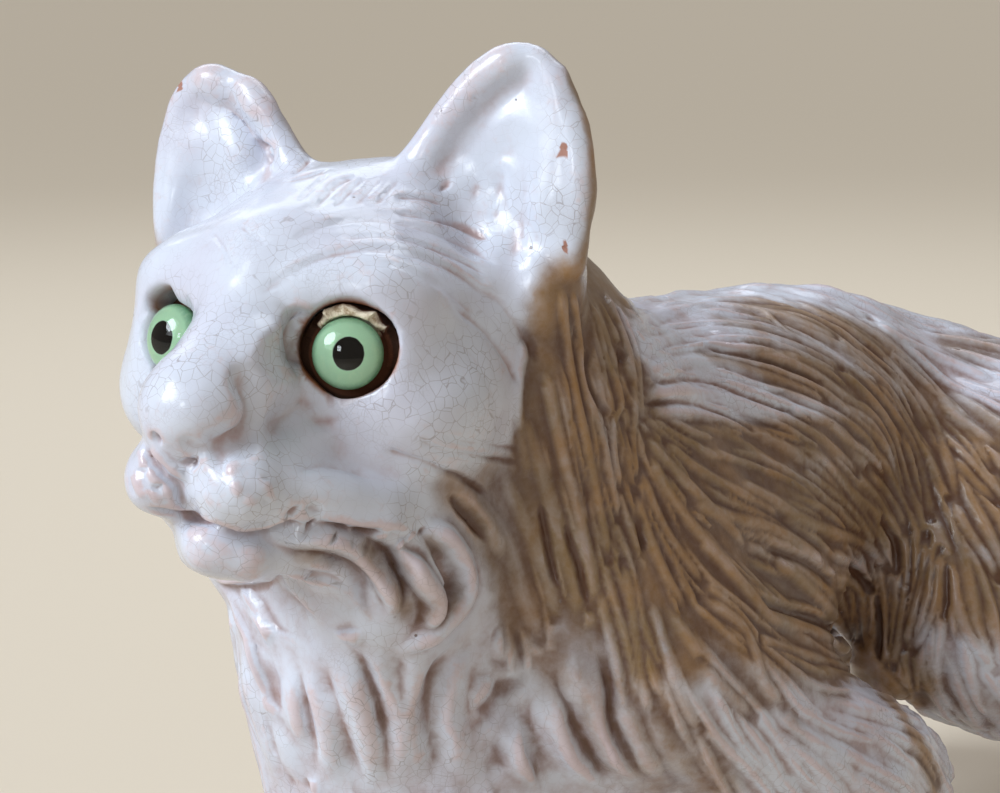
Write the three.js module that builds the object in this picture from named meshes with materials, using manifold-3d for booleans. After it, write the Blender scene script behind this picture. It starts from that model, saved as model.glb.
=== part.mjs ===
// A life-size prowling cat in tin-glazed terracotta, with glass eyes bedded in plaster.
// Millimetres, +Z up. The cat faces -Y and its left side is +X.
import * as THREE from 'three';
import { triTable } from 'three/addons/objects/MarchingCubes.js';
import { mergeVertices } from 'three/addons/utils/BufferGeometryUtils.js';
import Module from 'manifold-3d';

// The clay is modelled in a frame of its own: ground at z = 0, the middle of the chest at x = y = 0.
const CLAY_LOW = [-100, -145, -12];
const CLAY_HIGH = [125, 450, 312];
const CELL = 2.5; // pitch of the grid that holds the clay
const BODY_TRIANGLES = 8100; // flat faces kept on the fired body
const HEAD_DETAIL = 5; // how much more a change of shape counts on the head than on the body
const HEAD_REACH = 85; // the head is what lies this near the middle of the skull

// Where the head is carried. It is turned to the cat's left, with the nose lifted.
const HEAD_PLACE = [-8.4, -54.8, 223.6];
const HEAD_TURN = 17;
const HEAD_LIFT = 11.8;

// The eyes, in the head's frame: left, back and up from the middle of the skull.
const LEFT_EYE = [24.8, -36, -2.8];
const RIGHT_EYE = [-23.2, -36.4, -2.8];
const EYE_SPLAY = 20; // degrees that each eye looks outward
const EYE_DIAMETER = 17;
const EYE_DOME = 5.5;
const EYE_BACK = 3;
const SOCKET_DIAMETER = 25;
const SOCKET_DEPTH = 12; // from the rim of the eye to the floor of the socket
const FIT = 0.3; // clearance between pieces that touch
const ROUND = 24; // flats round an eye or a socket

// Locks of hair, as rolls of clay laid along the comb.
const LOCK = { length: 60, step: 8, beside: 13, along: 34, radius: 8, rise: 3.2, wave: 2.5, seed: 7 };

const radians = THREE.MathUtils.degToRad;
const vector = (a) => new THREE.Vector3(...a);
const bodyFrame = new THREE.Matrix4();
const headFrame = new THREE.Matrix4()
  .makeRotationFromEuler(new THREE.Euler(-radians(HEAD_LIFT), 0, radians(HEAD_TURN), 'ZYX'))
  .setPosition(vector(HEAD_PLACE));
const headFrameBack = headFrame.clone().invert();

// Joins two distances with a fillet of about the given size.
function softMin(a, b, fillet) {
  const h = Math.max(fillet - Math.abs(a - b), 0);
  return Math.min(a, b) - (h * h) / (4 * Math.max(fillet, 1e-6));
}

// An egg-shaped lump: its centre, its three radii and its turns about X, Y and Z in degrees.
function lump(frame, centre, radii, turns = [0, 0, 0]) {
  const place = new THREE.Matrix4()
    .makeRotationFromEuler(new THREE.Euler(...turns.map(radians)))
    .setPosition(vector(centre))
    .premultiply(frame);
  const back = place.clone().invert().elements;
  const [rx, ry, rz] = radii;
  const box = new THREE.Box3(vector(radii).negate(), vector(radii)).applyMatrix4(place);
  const distance = (x, y, z) => {
    const u = (back[0] * x + back[4] * y + back[8] * z + back[12]) / rx;
    const v = (back[1] * x + back[5] * y + back[9] * z + back[13]) / ry;
    const w = (back[2] * x + back[6] * y + back[10] * z + back[14]) / rz;
    const k = Math.hypot(u, v, w);
    return (k * (k - 1)) / Math.max(Math.hypot(u / rx, v / ry, w / rz), 1e-9);
  };
  return { box, distance };
}

// A tapering roll along a smooth curve through points [x, y, z, radius].
function roll(frame, points, steps = 4) {
  const places = points.map(([x, y, z]) => new THREE.Vector3(x, y, z).applyMatrix4(frame));
  const curve = new THREE.CatmullRomCurve3(places, false, 'centripetal');
  const spans = points.length - 1;
  const path = [];
  const box = new THREE.Box3();
  for (let i = 0; i <= steps * spans; i++) {
    const k = Math.min(Math.floor(i / steps), spans - 1);
    const t = THREE.MathUtils.smoothstep(i / steps - k, 0, 1);
    const r = THREE.MathUtils.lerp(points[k][3], points[k + 1][3], t);
    const p = curve.getPoint(i / (steps * spans));
    path.push([p.x, p.y, p.z, r]);
    box.expandByPoint(p.clone().subScalar(r));
    box.expandByPoint(p.clone().addScalar(r));
  }
  return { box, distance: (x, y, z) => pathDistance(path, x, y, z) };
}

// Distance from a place to a chain of balls [x, y, z, radius] joined by cones.
function pathDistance(path, x, y, z) {
  let best = Infinity;
  for (let i = 0; i < path.length - 1; i++) {
    const [ax, ay, az, ar] = path[i];
    const dx = path[i + 1][0] - ax;
    const dy = path[i + 1][1] - ay;
    const dz = path[i + 1][2] - az;
    const px = x - ax;
    const py = y - ay;
    const pz = z - az;
    const along = (px * dx + py * dy + pz * dz) / (dx * dx + dy * dy + dz * dz);
    const h = Math.min(Math.max(along, 0), 1);
    const gap = Math.hypot(px - dx * h, py - dy * h, pz - dz * h);
    best = Math.min(best, gap - ar - (path[i + 1][3] - ar) * h);
  }
  return best;
}

// Clay held as a grid of distances to its surface, negative inside.
class Clay {
  constructor(low, high, cell) {
    this.low = low;
    this.cell = cell;
    this.size = low.map((v, n) => Math.ceil((high[n] - v) / cell) + 1);
    this.values = new Float32Array(this.size[0] * this.size[1] * this.size[2]).fill(1e3);
  }

  index(i, j, k) {
    return i + this.size[0] * (j + this.size[1] * k);
  }

  // Sets every grid point near a form to change(old value, distance to the form).
  work(form, margin, change) {
    const { low, cell, size, values } = this;
    const reach = margin + 2 * cell;
    const from = form.box.min.toArray().map((v, n) => Math.floor((v - reach - low[n]) / cell));
    const to = form.box.max.toArray().map((v, n) => Math.ceil((v + reach - low[n]) / cell));
    for (let n = 0; n < 3; n++) {
      from[n] = Math.max(from[n], 0);
      to[n] = Math.min(to[n], size[n] - 1);
    }
    for (let k = from[2]; k <= to[2]; k++) {
      for (let j = from[1]; j <= to[1]; j++) {
        for (let i = from[0]; i <= to[0]; i++) {
          const at = this.index(i, j, k);
          const d = form.distance(low[0] + i * cell, low[1] + j * cell, low[2] + k * cell);
          values[at] = change(values[at], d);
        }
      }
    }
  }

  add(form, fillet = 0) {
    this.work(form, fillet, (v, d) => softMin(v, d, fillet));
  }

  cut(form, fillet = 0) {
    this.work(form, fillet, (v, d) => -softMin(-v, d, fillet));
  }

  // The distance to the surface at any place, between the grid points.
  at(p) {
    const [nx, ny] = this.size;
    const g = [0, 1, 2].map((n) => (p.getComponent(n) - this.low[n]) / this.cell);
    const base = g.map((v, n) => Math.floor(Math.min(Math.max(v, 1), this.size[n] - 3)));
    const [fx, fy, fz] = g.map((v, n) => v - base[n]);
    const o = this.index(...base);
    const mix = THREE.MathUtils.lerp;
    const row = (k) => mix(this.values[k], this.values[k + 1], fx);
    const face = (k) => mix(row(k), row(k + nx), fy);
    return mix(face(o), face(o + nx * ny), fz);
  }

  // The direction straight out of the surface.
  normal(p) {
    const slope = new THREE.Vector3();
    for (let n = 0; n < 3; n++) {
      const step = new THREE.Vector3().setComponent(n, this.cell);
      slope.setComponent(n, this.at(p.clone().add(step)) - this.at(p.clone().sub(step)));
    }
    return slope.normalize();
  }

  // The nearest place on the surface, by a few steps down the slope.
  settle(p) {
    const q = p.clone();
    for (let i = 0; i < 4; i++) q.addScaledVector(this.normal(q), -this.at(q));
    return q;
  }

  // The surface as corners and triangles, by marching cubes. Neighbouring cells share their corners.
  skin() {
    const square = [[0, 0], [1, 0], [1, 1], [0, 1]];
    const corner = [...square.map((c) => [...c, 0]), ...square.map((c) => [...c, 1])];
    const flat = [[0, 1], [1, 2], [3, 2], [0, 3], [4, 5], [5, 6], [7, 6], [4, 7]];
    const edge = [...flat, [0, 4], [1, 5], [2, 6], [3, 7]];
    const axis = edge.map(([a, b]) => [0, 1, 2].find((n) => corner[a][n] !== corner[b][n]));
    const [nx, ny, nz] = this.size;
    const step = corner.map(([a, b, c]) => a + nx * (b + ny * c));
    const made = new Map();
    const points = [];
    const triangles = [];
    const crossing = (cell, place, e) => {
      const a = cell + step[edge[e][0]];
      const key = a * 3 + axis[e];
      if (!made.has(key)) {
        const va = this.values[a];
        const vb = this.values[cell + step[edge[e][1]]];
        const t = THREE.MathUtils.clamp(va / (va - vb), 0.02, 0.98);
        made.set(key, points.length / 3);
        for (let n = 0; n < 3; n++) {
          const steps = place[n] + corner[edge[e][0]][n] + (n === axis[e] ? t : 0);
          points.push(this.low[n] + steps * this.cell);
        }
      }
      return made.get(key);
    };
    for (let k = 0; k < nz - 1; k++) {
      for (let j = 0; j < ny - 1; j++) {
        for (let i = 0; i < nx - 1; i++) {
          const cell = this.index(i, j, k);
          let code = 0;
          for (let c = 0; c < 8; c++) {
            if (this.values[cell + step[c]] < 0) code |= 1 << c;
          }
          for (let n = code * 16; triTable[n] !== -1; n += 3) {
            const [a, b, c] = [0, 1, 2].map((m) => crossing(cell, [i, j, k], triTable[n + m]));
            triangles.push(a, c, b);
          }
        }
      }
    }
    return { points, triangles };
  }
}

// A queue that gives back the item of least cost first.
class Queue {
  constructor() {
    this.items = [];
  }

  swap(i, j) {
    [this.items[i], this.items[j]] = [this.items[j], this.items[i]];
  }

  push(item) {
    this.items.push(item);
    let i = this.items.length - 1;
    while (i > 0 && this.items[(i - 1) >> 1].cost > this.items[i].cost) {
      this.swap(i, (i - 1) >> 1);
      i = (i - 1) >> 1;
    }
  }

  pop() {
    const first = this.items[0];
    const last = this.items.pop();
    if (this.items.length === 0) return first;
    this.items[0] = last;
    let i = 0;
    while (2 * i + 1 < this.items.length) {
      let child = 2 * i + 1;
      if (child + 1 < this.items.length && this.items[child + 1].cost < this.items[child].cost) child++;
      if (this.items[i].cost <= this.items[child].cost) break;
      this.swap(i, child);
      i = child;
    }
    return first;
  }
}

// Merges the corners of a closed skin, always the pair that changes its shape least, down to a count.
class Thinner {
  constructor({ points, triangles }, importance) {
    this.P = Float64Array.from(points);
    this.T = Int32Array.from(triangles);
    this.importance = importance;
    const count = points.length / 3;
    this.planes = new Float64Array(count * 10);
    this.around = Array.from({ length: count }, () => []);
    this.alive = new Uint8Array(this.T.length / 3).fill(1);
    this.gone = new Uint8Array(count);
    this.turn = new Int32Array(count);
    this.queue = new Queue();
    for (let t = 0; t < this.alive.length; t++) this.weigh(t);
    for (let a = 0; a < count; a++) {
      for (const b of this.neighbours(a)) {
        if (a < b) this.offer(a, b);
      }
    }
  }

  corner(v) {
    return new THREE.Vector3().fromArray(this.P, v * 3);
  }

  cross(a, b, c) {
    return b.clone().sub(a).cross(c.clone().sub(a));
  }

  // Adds the plane of one triangle to its three corners, by its area.
  weigh(t) {
    const corners = [...this.T.subarray(t * 3, t * 3 + 3)];
    const n = this.cross(...corners.map((v) => this.corner(v)));
    const area = n.length();
    n.divideScalar(area || 1);
    const w = -n.dot(this.corner(corners[0]));
    const { x, y, z } = n;
    const plane = [x * x, x * y, x * z, x * w, y * y, y * z, y * w, z * z, z * w, w * w];
    for (const v of corners) {
      this.around[v].push(t);
      for (let m = 0; m < 10; m++) this.planes[v * 10 + m] += plane[m] * area;
    }
  }

  neighbours(a) {
    const found = new Set();
    for (const t of this.around[a]) {
      for (let c = 0; c < 3; c++) found.add(this.T[t * 3 + c]);
    }
    found.delete(a);
    return found;
  }

  // Where two corners would best merge, and how far that takes them off their planes.
  offer(a, b) {
    const q = [];
    for (let m = 0; m < 10; m++) q.push(this.planes[a * 10 + m] + this.planes[b * 10 + m]);
    const [pa, pb] = [this.corner(a), this.corner(b)];
    const middle = pa.clone().add(pb).multiplyScalar(0.5);
    const places = [middle, pa, pb];
    const e = new THREE.Matrix3().set(q[0], q[1], q[2], q[1], q[4], q[5], q[2], q[5], q[7]);
    if (Math.abs(e.determinant()) > 1e-6 * (q[0] + q[4] + q[7]) ** 3) {
      const best = new THREE.Vector3(-q[3], -q[6], -q[8]).applyMatrix3(e.invert());
      if (best.distanceTo(middle) < 3 * CELL) places.unshift(best);
    }
    const error = ({ x, y, z }) =>
      q[0] * x * x + q[4] * y * y + q[7] * z * z + q[9] +
      2 * (q[1] * x * y + q[2] * x * z + q[5] * y * z + q[3] * x + q[6] * y + q[8] * z);
    const place = places.reduce((best, p) => (error(p) < error(best) ? p : best));
    const cost = (Math.max(error(place), 0) + 1e-4 * pa.distanceToSquared(pb)) * this.importance(middle);
    this.queue.push({ cost, place, a, b, turnA: this.turn[a], turnB: this.turn[b] });
  }

  // Whether moving corner v would turn one of its triangles over or crush it.
  folds(v, other, place) {
    return this.around[v].some((t) => {
      const corners = [...this.T.subarray(t * 3, t * 3 + 3)];
      if (corners.includes(other)) return false;
      const before = this.cross(...corners.map((c) => this.corner(c)));
      const after = this.cross(...corners.map((c) => (c === v ? place : this.corner(c))));
      return after.length() < 1e-3 || before.dot(after) < 0.3 * before.length() * after.length();
    });
  }

  merge(a, b, place) {
    place.toArray(this.P, a * 3);
    for (let m = 0; m < 10; m++) this.planes[a * 10 + m] += this.planes[b * 10 + m];
    let lost = 0;
    for (const t of this.around[b]) {
      const corners = [...this.T.subarray(t * 3, t * 3 + 3)];
      if (corners.includes(a)) {
        this.alive[t] = 0;
        lost++;
        for (const c of corners) this.around[c] = this.around[c].filter((u) => u !== t);
      } else {
        this.T[t * 3 + corners.indexOf(b)] = a;
        this.around[a].push(t);
      }
    }
    this.gone[b] = 1;
    this.turn[a]++;
    for (const c of this.neighbours(a)) this.offer(a, c);
    return lost;
  }

  run(target) {
    let left = this.alive.length;
    while (left > target && this.queue.items.length) {
      const { a, b, place, turnA, turnB } = this.queue.pop();
      if (this.gone[a] || this.gone[b] || this.turn[a] !== turnA || this.turn[b] !== turnB) continue;
      const beside = this.neighbours(b);
      if ([...this.neighbours(a)].filter((c) => beside.has(c)).length !== 2) continue;
      if (this.folds(a, b, place) || this.folds(b, a, place)) continue;
      left -= this.merge(a, b, place);
    }
    return this.result();
  }

  result() {
    const kept = new Map();
    const points = [];
    const triangles = [];
    for (let i = 0; i < this.T.length; i++) {
      if (!this.alive[Math.floor(i / 3)]) continue;
      const v = this.T[i];
      if (!kept.has(v)) {
        kept.set(v, kept.size);
        points.push(...this.corner(v).toArray());
      }
      triangles.push(kept.get(v));
    }
    return { points, triangles };
  }
}

function torso(clay) {
  clay.add(lump(bodyFrame, [0, 45, 155], [54, 88, 67]));
  clay.add(lump(bodyFrame, [0, 132, 160], [42, 84, 57]), 30);
  clay.add(lump(bodyFrame, [0, 206, 142], [52, 58, 53], [12, 0, 0]), 26);
  clay.add(lump(bodyFrame, [-2, -4, 150], [52, 49, 74]), 24);
  for (const side of [1, -1]) clay.add(lump(bodyFrame, [33 * side, 36, 138], [29, 55, 43]), 24);
}

function paw(clay, [x, y]) {
  clay.add(lump(bodyFrame, [x, y, 8], [18, 23, 13]), 8);
  for (const across of [-1.5, -0.5, 0.5, 1.5]) {
    const reach = 17 - 3 * Math.abs(across + 0.4 * Math.sign(x));
    clay.add(lump(bodyFrame, [x + 8.5 * across, y - reach, 6], [5.2, 9, 7.5]), 2);
  }
}

// Each leg from the shoulder or hip down, as places and radii.
const LEFT_ARM = [[44, 8, 134, 31], [62, 58, 96, 27], [66, 94, 78, 21]];
const LEFT_WRIST = [[63, 76, 46, 17], [59, 36, 12, 14]];
const RIGHT_ARM = [[-46, 5, 138, 31], [-60, 42, 92, 26]];
const RIGHT_WRIST = [[-57, -10, 48, 17], [-54, -50, 14, 14]];
const LEFT_THIGH = [[36, 210, 144, 45], [55, 154, 118, 29], [59, 212, 77, 20]];
const LEFT_HOCK = [[57, 250, 50, 14], [57, 238, 14, 13]];
const RIGHT_THIGH = [[-37, 208, 145, 43], [-54, 182, 102, 29], [-54, 240, 72, 19]];
const RIGHT_HOCK = [[-53, 268, 48, 14], [-51, 260, 14, 13]];
const PAWS = [[59, 28], [-54, -62], [57, 226], [-51, 248]];

function legs(clay) {
  clay.add(roll(bodyFrame, [...LEFT_ARM, ...LEFT_WRIST]), 18);
  clay.add(roll(bodyFrame, [...RIGHT_ARM, ...RIGHT_WRIST]), 18);
  clay.add(roll(bodyFrame, [...LEFT_THIGH, ...LEFT_HOCK]), 18);
  clay.add(roll(bodyFrame, [...RIGHT_THIGH, ...RIGHT_HOCK]), 18);
  for (const place of PAWS) paw(clay, place);
}

function tail(clay) {
  const root = [[0, 235, 152, 24], [0, 280, 156, 19], [6, 325, 140, 21]];
  const brush = [[20, 365, 96, 24], [42, 388, 48, 22], [72, 384, 24, 16], [94, 366, 7, 8]];
  clay.add(roll(bodyFrame, [...root, ...brush]), 14);
}

function neck(clay) {
  clay.add(roll(bodyFrame, [[0, 12, 160, 56], [-2, -8, 196, 52], [-6, -22, 222, 45]]), 18);
  clay.add(roll(bodyFrame, [[-3, -38, 104, 33], [-2, -46, 140, 36], [0, -49, 172, 33]]), 18);
  clay.add(lump(bodyFrame, [-2, -14, 106], [42, 46, 30]), 20);
  clay.add(lump(headFrame, [27, -10, -50], [18, 20, 24]), 14);
  clay.add(lump(headFrame, [-19, 4, -48], [14, 18, 20]), 14);
}

function skull(clay) {
  clay.add(lump(headFrame, [0, 6, 2], [45, 45, 43]), 16);
  for (const side of [1, -1]) {
    clay.add(lump(headFrame, [31 * side, -10, -14], [20, 24, 19]), 12);
    clay.add(lump(headFrame, [20 * side, -24, 11], [22, 16, 14]), 10);
    clay.add(lump(headFrame, [24 * side, -23, -4], [16, 15.5, 16]), 7);
  }
}

function muzzle(clay) {
  clay.add(lump(headFrame, [0, -28, -34], [24, 24, 18]), 12);
  clay.add(roll(headFrame, [[0, -26, 14, 18], [0, -42, -2, 13], [0, -56, -15, 12.5]]), 10);
  clay.add(lump(headFrame, [-0.5, -58.5, -18.5], [14, 14, 12.5]), 5);
  for (const side of [1, -1]) {
    const lip = [[11 * side, -51, -35, 9], [22 * side, -40, -37, 7.5], [34 * side, -28, -40, 5.5]];
    clay.add(lump(headFrame, [9 * side, -54, -34], [10.5, 11.5, 9.5]), 4);
    clay.add(roll(headFrame, lip), 6);
  }
  clay.add(lump(headFrame, [1.5, -45.5, -50], [11, 12, 8.5]), 3);
  for (const side of [1, -1]) {
    clay.add(roll(headFrame, [[6 * side, -42, -49.5, 7.5], [17 * side, -28, -46.5, 6.5]]), 4);
  }
}

// Three folds of fur curl round behind the corner of the mouth. Each is laid on the cheek as it is there.
function jowl(clay, side) {
  const folds = [
    [[22, -36, -47], [29, -25, -52], [32, -18, -58], [30, -19, -65], [26, -22, -69]],
    [[31, -22, -48], [37, -13, -53], [39, -9, -61], [37, -10, -67], [33, -14, -71]],
    [[40, -10, -38], [46, -2, -45], [48, 2, -54], [45, 1, -63], [38, -8, -73]],
  ];
  const laid = folds.map((fold) =>
    fold.map(([x, y, z], i) => {
      const p = clay.settle(new THREE.Vector3(x * side, y, z).applyMatrix4(headFrame));
      const r = 5.5 - 0.5 * Math.abs(i - 2);
      return [...p.addScaledVector(clay.normal(p), 2.2 - r).toArray(), r];
    }),
  );
  for (const fold of laid) clay.add(roll(bodyFrame, fold), 1.5);
}

// The rim of each ear runs from the crown over the tip to the temple. The right tip is lower and flatter.
const LEFT_EAR = {
  tip: 72,
  inner: [[13, 4, 38, 5], [25, 3, 57, 4.5], [37, 3, 71, 4.2]],
  outer: [[49, 4, 74, 4], [57, 5, 60, 4], [61, 7, 42, 4.5], [60, 8, 24, 5]],
};
const RIGHT_EAR = {
  tip: 63,
  inner: [[13, 4, 38, 5], [25, 3, 55, 4.5], [36, 3, 65, 4.2]],
  outer: [[50, 4, 66, 4], [56, 5, 54, 4], [57, 7, 40, 4.5], [55, 8, 24, 5]],
};

function ear(clay, { tip, inner, outer }, side) {
  const lean = [0, 14 * side, -12 * side];
  const rim = [...inner, ...outer].map(([x, y, z, r]) => [x * side, y, z, r]);
  clay.add(lump(headFrame, [38 * side, 10, tip - 36], [22, 10, 40], lean), 8);
  clay.add(roll(headFrame, rim), 4);
  clay.cut(lump(headFrame, [42 * side, -4, tip - 30], [13, 9, 19], lean), 3);
  clay.cut(roll(headFrame, [[43 * side, -3, tip - 30, 7], [51 * side, 0, tip - 46, 5]]), 3);
}

// Which way the hair is combed: a place on the left side, then a direction. The right side mirrors it.
const COMB = [
  [0, -95, 160, 0, 0, -1],
  [45, -60, 150, 0.1, 0.2, -1],
  [50, -15, 205, 0.1, 0.15, -1],
  [30, 15, 245, 0.3, 0.5, -1],
  [0, 35, 230, 0.1, 1, -0.4],
  [58, 30, 175, 0.1, 0.7, -0.8],
  [50, 80, 195, 0.25, 1, -0.35],
  [0, 110, 222, 0.25, 1, -0.05],
  [56, 90, 150, 0, 0.9, -0.55],
  [45, 130, 180, 0.1, 0.8, -0.7],
  [45, 138, 140, 0, 0.3, -1],
  [64, 60, 110, 0, 0.8, -0.7],
  [30, 180, 205, 0.4, 1, -0.2],
  [60, 190, 165, 0.1, 0.8, -0.7],
  [62, 220, 120, 0, 0.7, -0.8],
  [58, 160, 110, 0, 0.5, -0.8],
  [0, 250, 185, 0, 1, -0.1],
  [30, 265, 140, 0, 0.6, -1],
  [8, 330, 140, 0.05, 0.8, -1],
  [20, 368, 90, 0.2, 0.35, -1],
  [45, 390, 45, 0.6, 0.1, -0.8],
  [80, 384, 25, 1, -0.3, -0.2],
  [0, 60, 85, 0, 1, -0.1],
];
const COMB_REACH = 40;
const TAIL_START = 300;

function combed(p) {
  const side = p.x < 0 && p.y < TAIL_START ? -1 : 1;
  const sum = new THREE.Vector3();
  for (const [x, y, z, dx, dy, dz] of COMB) {
    const gap = p.distanceToSquared(new THREE.Vector3(x * side, y, z));
    const way = new THREE.Vector3(dx * side, dy, dz).normalize();
    sum.addScaledVector(way, Math.exp(-gap / COMB_REACH ** 2) + 1e-9);
  }
  return sum.normalize();
}

// Long hair grows everywhere but on the face, the ears, the lower legs and the paws.
function isLongHaired(p) {
  const h = p.clone().applyMatrix4(headFrameBack);
  const onFace = h.y < 10 && h.z > -62 && h.length() < 95;
  const onCrown = h.z > 18 && h.length() < 110;
  const onPaw = p.z < 62 && p.y < TAIL_START;
  return !onFace && !onCrown && !onPaw;
}

// A repeatable run of numbers between 0 and 1.
function dice(seed) {
  let state = seed;
  return () => {
    state = (state * 1664525 + 1013904223) % 4294967296;
    return state / 4294967296;
  };
}

// The way a lock lies on the coat: places, each with the direction straight out of the coat.
function lie(clay, root, random) {
  const way = [];
  const p = root.clone();
  const phase = 2 * Math.PI * random();
  const count = Math.round((LOCK.length * (0.7 + 0.6 * random())) / LOCK.step);
  for (let i = 0; i <= count && isLongHaired(p); i++) {
    const n = clay.normal(p);
    const along = combed(p).projectOnPlane(n).normalize();
    const across = n.clone().cross(along);
    way.push([p.clone(), n]);
    p.addScaledVector(along, LOCK.step).addScaledVector(across, LOCK.wave * Math.cos(phase + 0.9 * i));
    p.copy(clay.settle(p));
  }
  return way;
}

// One lock: it rises out of the coat, swells and sinks back at its tip.
function lock(way) {
  return way.map(([p, n], i) => {
    const t = i / (way.length - 1);
    const rise = LOCK.rise * Math.sin(Math.PI * Math.min(1, 0.08 + t)) ** 0.7;
    const r = LOCK.radius * (0.55 + 0.45 * Math.sin(Math.PI * t));
    return [...p.clone().addScaledVector(n, rise - r).toArray(), r];
  });
}

// Roots for the locks, spread over the coat: far apart along the comb, close beside one another.
function lockRoots(clay, random) {
  const { points } = clay.skin();
  const order = Array.from({ length: points.length / 3 }, (_, i) => i);
  for (let i = order.length - 1; i > 0; i--) {
    const j = Math.floor(random() * (i + 1));
    [order[i], order[j]] = [order[j], order[i]];
  }
  const roots = [];
  for (const i of order) {
    const p = new THREE.Vector3().fromArray(points, 3 * i);
    if (!isLongHaired(p)) continue;
    const way = combed(p);
    const crowded = roots.some((root) => {
      const gap = p.clone().sub(root);
      const along = gap.dot(way);
      return (along / LOCK.along) ** 2 + (gap.lengthSq() - along ** 2) / LOCK.beside ** 2 < 1;
    });
    if (!crowded) roots.push(p);
  }
  return roots;
}

function fur(clay) {
  const random = dice(LOCK.seed);
  const ways = lockRoots(clay, random).map((root) => lie(clay, root, random));
  const locks = ways.filter((way) => way.length > 2).map(lock);
  for (const path of locks) clay.add(roll(bodyFrame, path, 1), 1.5);
}

function modelCat() {
  const clay = new Clay(CLAY_LOW, CLAY_HIGH, CELL);
  torso(clay);
  legs(clay);
  tail(clay);
  neck(clay);
  skull(clay);
  muzzle(clay);
  ear(clay, LEFT_EAR, 1);
  ear(clay, RIGHT_EAR, -1);
  fur(clay);
  jowl(clay, 1);
  jowl(clay, -1);
  const middle = vector(HEAD_PLACE);
  const importance = (p) => (p.distanceTo(middle) < HEAD_REACH ? HEAD_DETAIL : 1);
  return new Thinner(clay.skin(), importance).run(BODY_TRIANGLES);
}

const wasm = await Module();
wasm.setup();

function toSolid({ points, triangles }) {
  const vertProperties = Float32Array.from(points);
  const triVerts = Uint32Array.from(triangles);
  return new wasm.Manifold(new wasm.Mesh({ numProp: 3, vertProperties, triVerts }));
}

function solidOf(geometry, matrix = bodyFrame) {
  const bare = new THREE.BufferGeometry();
  bare.setIndex(geometry.index);
  bare.setAttribute('position', geometry.attributes.position.clone());
  const merged = mergeVertices(bare.applyMatrix4(matrix), 1e-4);
  return toSolid({ points: merged.attributes.position.array, triangles: merged.index.array });
}

function meshOf(name, solid, material) {
  const { vertProperties, triVerts } = solid.getMesh();
  const geometry = new THREE.BufferGeometry();
  geometry.setAttribute('position', new THREE.BufferAttribute(Float32Array.from(vertProperties), 3));
  geometry.setIndex(new THREE.BufferAttribute(Uint32Array.from(triVerts), 1));
  geometry.computeVertexNormals();
  const mesh = new THREE.Mesh(geometry, material);
  mesh.name = name;
  return mesh;
}

// One eye's own frame: its Y looks out of the eye and its Z is up.
function eyePlace(side) {
  return new THREE.Matrix4()
    .makeRotationZ(Math.PI + radians(EYE_SPLAY) * side)
    .setPosition(vector(side > 0 ? LEFT_EYE : RIGHT_EYE))
    .premultiply(headFrame);
}

// A shape turned about the axis of one eye. Profile: [radius, how far in front of the eye's rim].
function turned(profile, side) {
  const outline = profile.map(([r, h]) => new THREE.Vector2(r, h));
  return solidOf(new THREE.LatheGeometry(outline, ROUND), eyePlace(side));
}

const EYE_RADIUS = EYE_DIAMETER / 2;
const SOCKET_RADIUS = SOCKET_DIAMETER / 2;

function socket(side) {
  return turned([[0, -SOCKET_DEPTH], [SOCKET_RADIUS, -SOCKET_DEPTH], [SOCKET_RADIUS, 30], [0, 30]], side);
}

function glassEye(side) {
  const dome = Array.from({ length: 6 }, (_, i) => {
    const a = (i / 5) * (Math.PI / 2);
    return [EYE_RADIUS * Math.cos(a), EYE_DOME * Math.sin(a)];
  });
  return turned([[0, -EYE_BACK], [EYE_RADIUS - 1, -EYE_BACK], ...dome], side);
}

// The plaster fills the floor of the socket and stands up round part of the eye in a broken edge.
// Its edge has a middle, in degrees from the top, a reach to each side of it and a height past the
// rim of the eye. Each notch is at so many degrees and leaves so much height.
const LEFT_NOTCHES = [[-70, 1], [-40, 0.2], [22, 1.2], [48, 0]];
const LEFT_EDGE = { middle: -15, reach: 75, top: 2.5, notches: LEFT_NOTCHES };
const RIGHT_EDGE = { middle: 170, reach: 40, top: 1, notches: [[150, -0.5], [188, 0]] };
const NOTCH_WIDTH = 3.4;

function plaster(side, { middle, reach, top, notches }) {
  const outer = SOCKET_RADIUS - FIT;
  const floor = FIT - SOCKET_DEPTH;
  const seat = -EYE_BACK - FIT;
  const bed = turned([[0, floor], [outer, floor], [outer, seat], [0, seat]], side);
  const inner = EYE_RADIUS + 1.2 * FIT;
  const low = seat - 1;
  const section = [[inner, low], [outer, low], [outer, top], [inner, top - 0.8], [inner, low]];
  const collar = turned(section, side);
  const block = (angle, wide, from) => {
    const box = new THREE.BoxGeometry(wide, 30, 20);
    box.translate(0, from + 15, 10);
    box.rotateY(radians(angle));
    return solidOf(box, eyePlace(side));
  };
  const half = 2 * outer * Math.sin(radians(reach));
  let edge = collar.intersect(block(middle, half, -6));
  for (const [angle, height] of notches) edge = edge.subtract(block(angle, NOTCH_WIDTH, height));
  return bed.add(edge);
}

const glaze = new THREE.MeshStandardMaterial({ color: 0xd9d4dc, roughness: 0.2, metalness: 0 });
const glass = new THREE.MeshStandardMaterial({ color: 0xa5d6a0, roughness: 0.05, metalness: 0 });
const gypsum = new THREE.MeshStandardMaterial({ color: 0xd8cdb4, roughness: 0.9, metalness: 0 });

const ground = new THREE.BoxGeometry(600, 900, 100);
let body = toSolid(modelCat()).subtract(solidOf(ground, new THREE.Matrix4().setPosition(0, 150, -50)));
for (const side of [1, -1]) body = body.subtract(socket(side));

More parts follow.
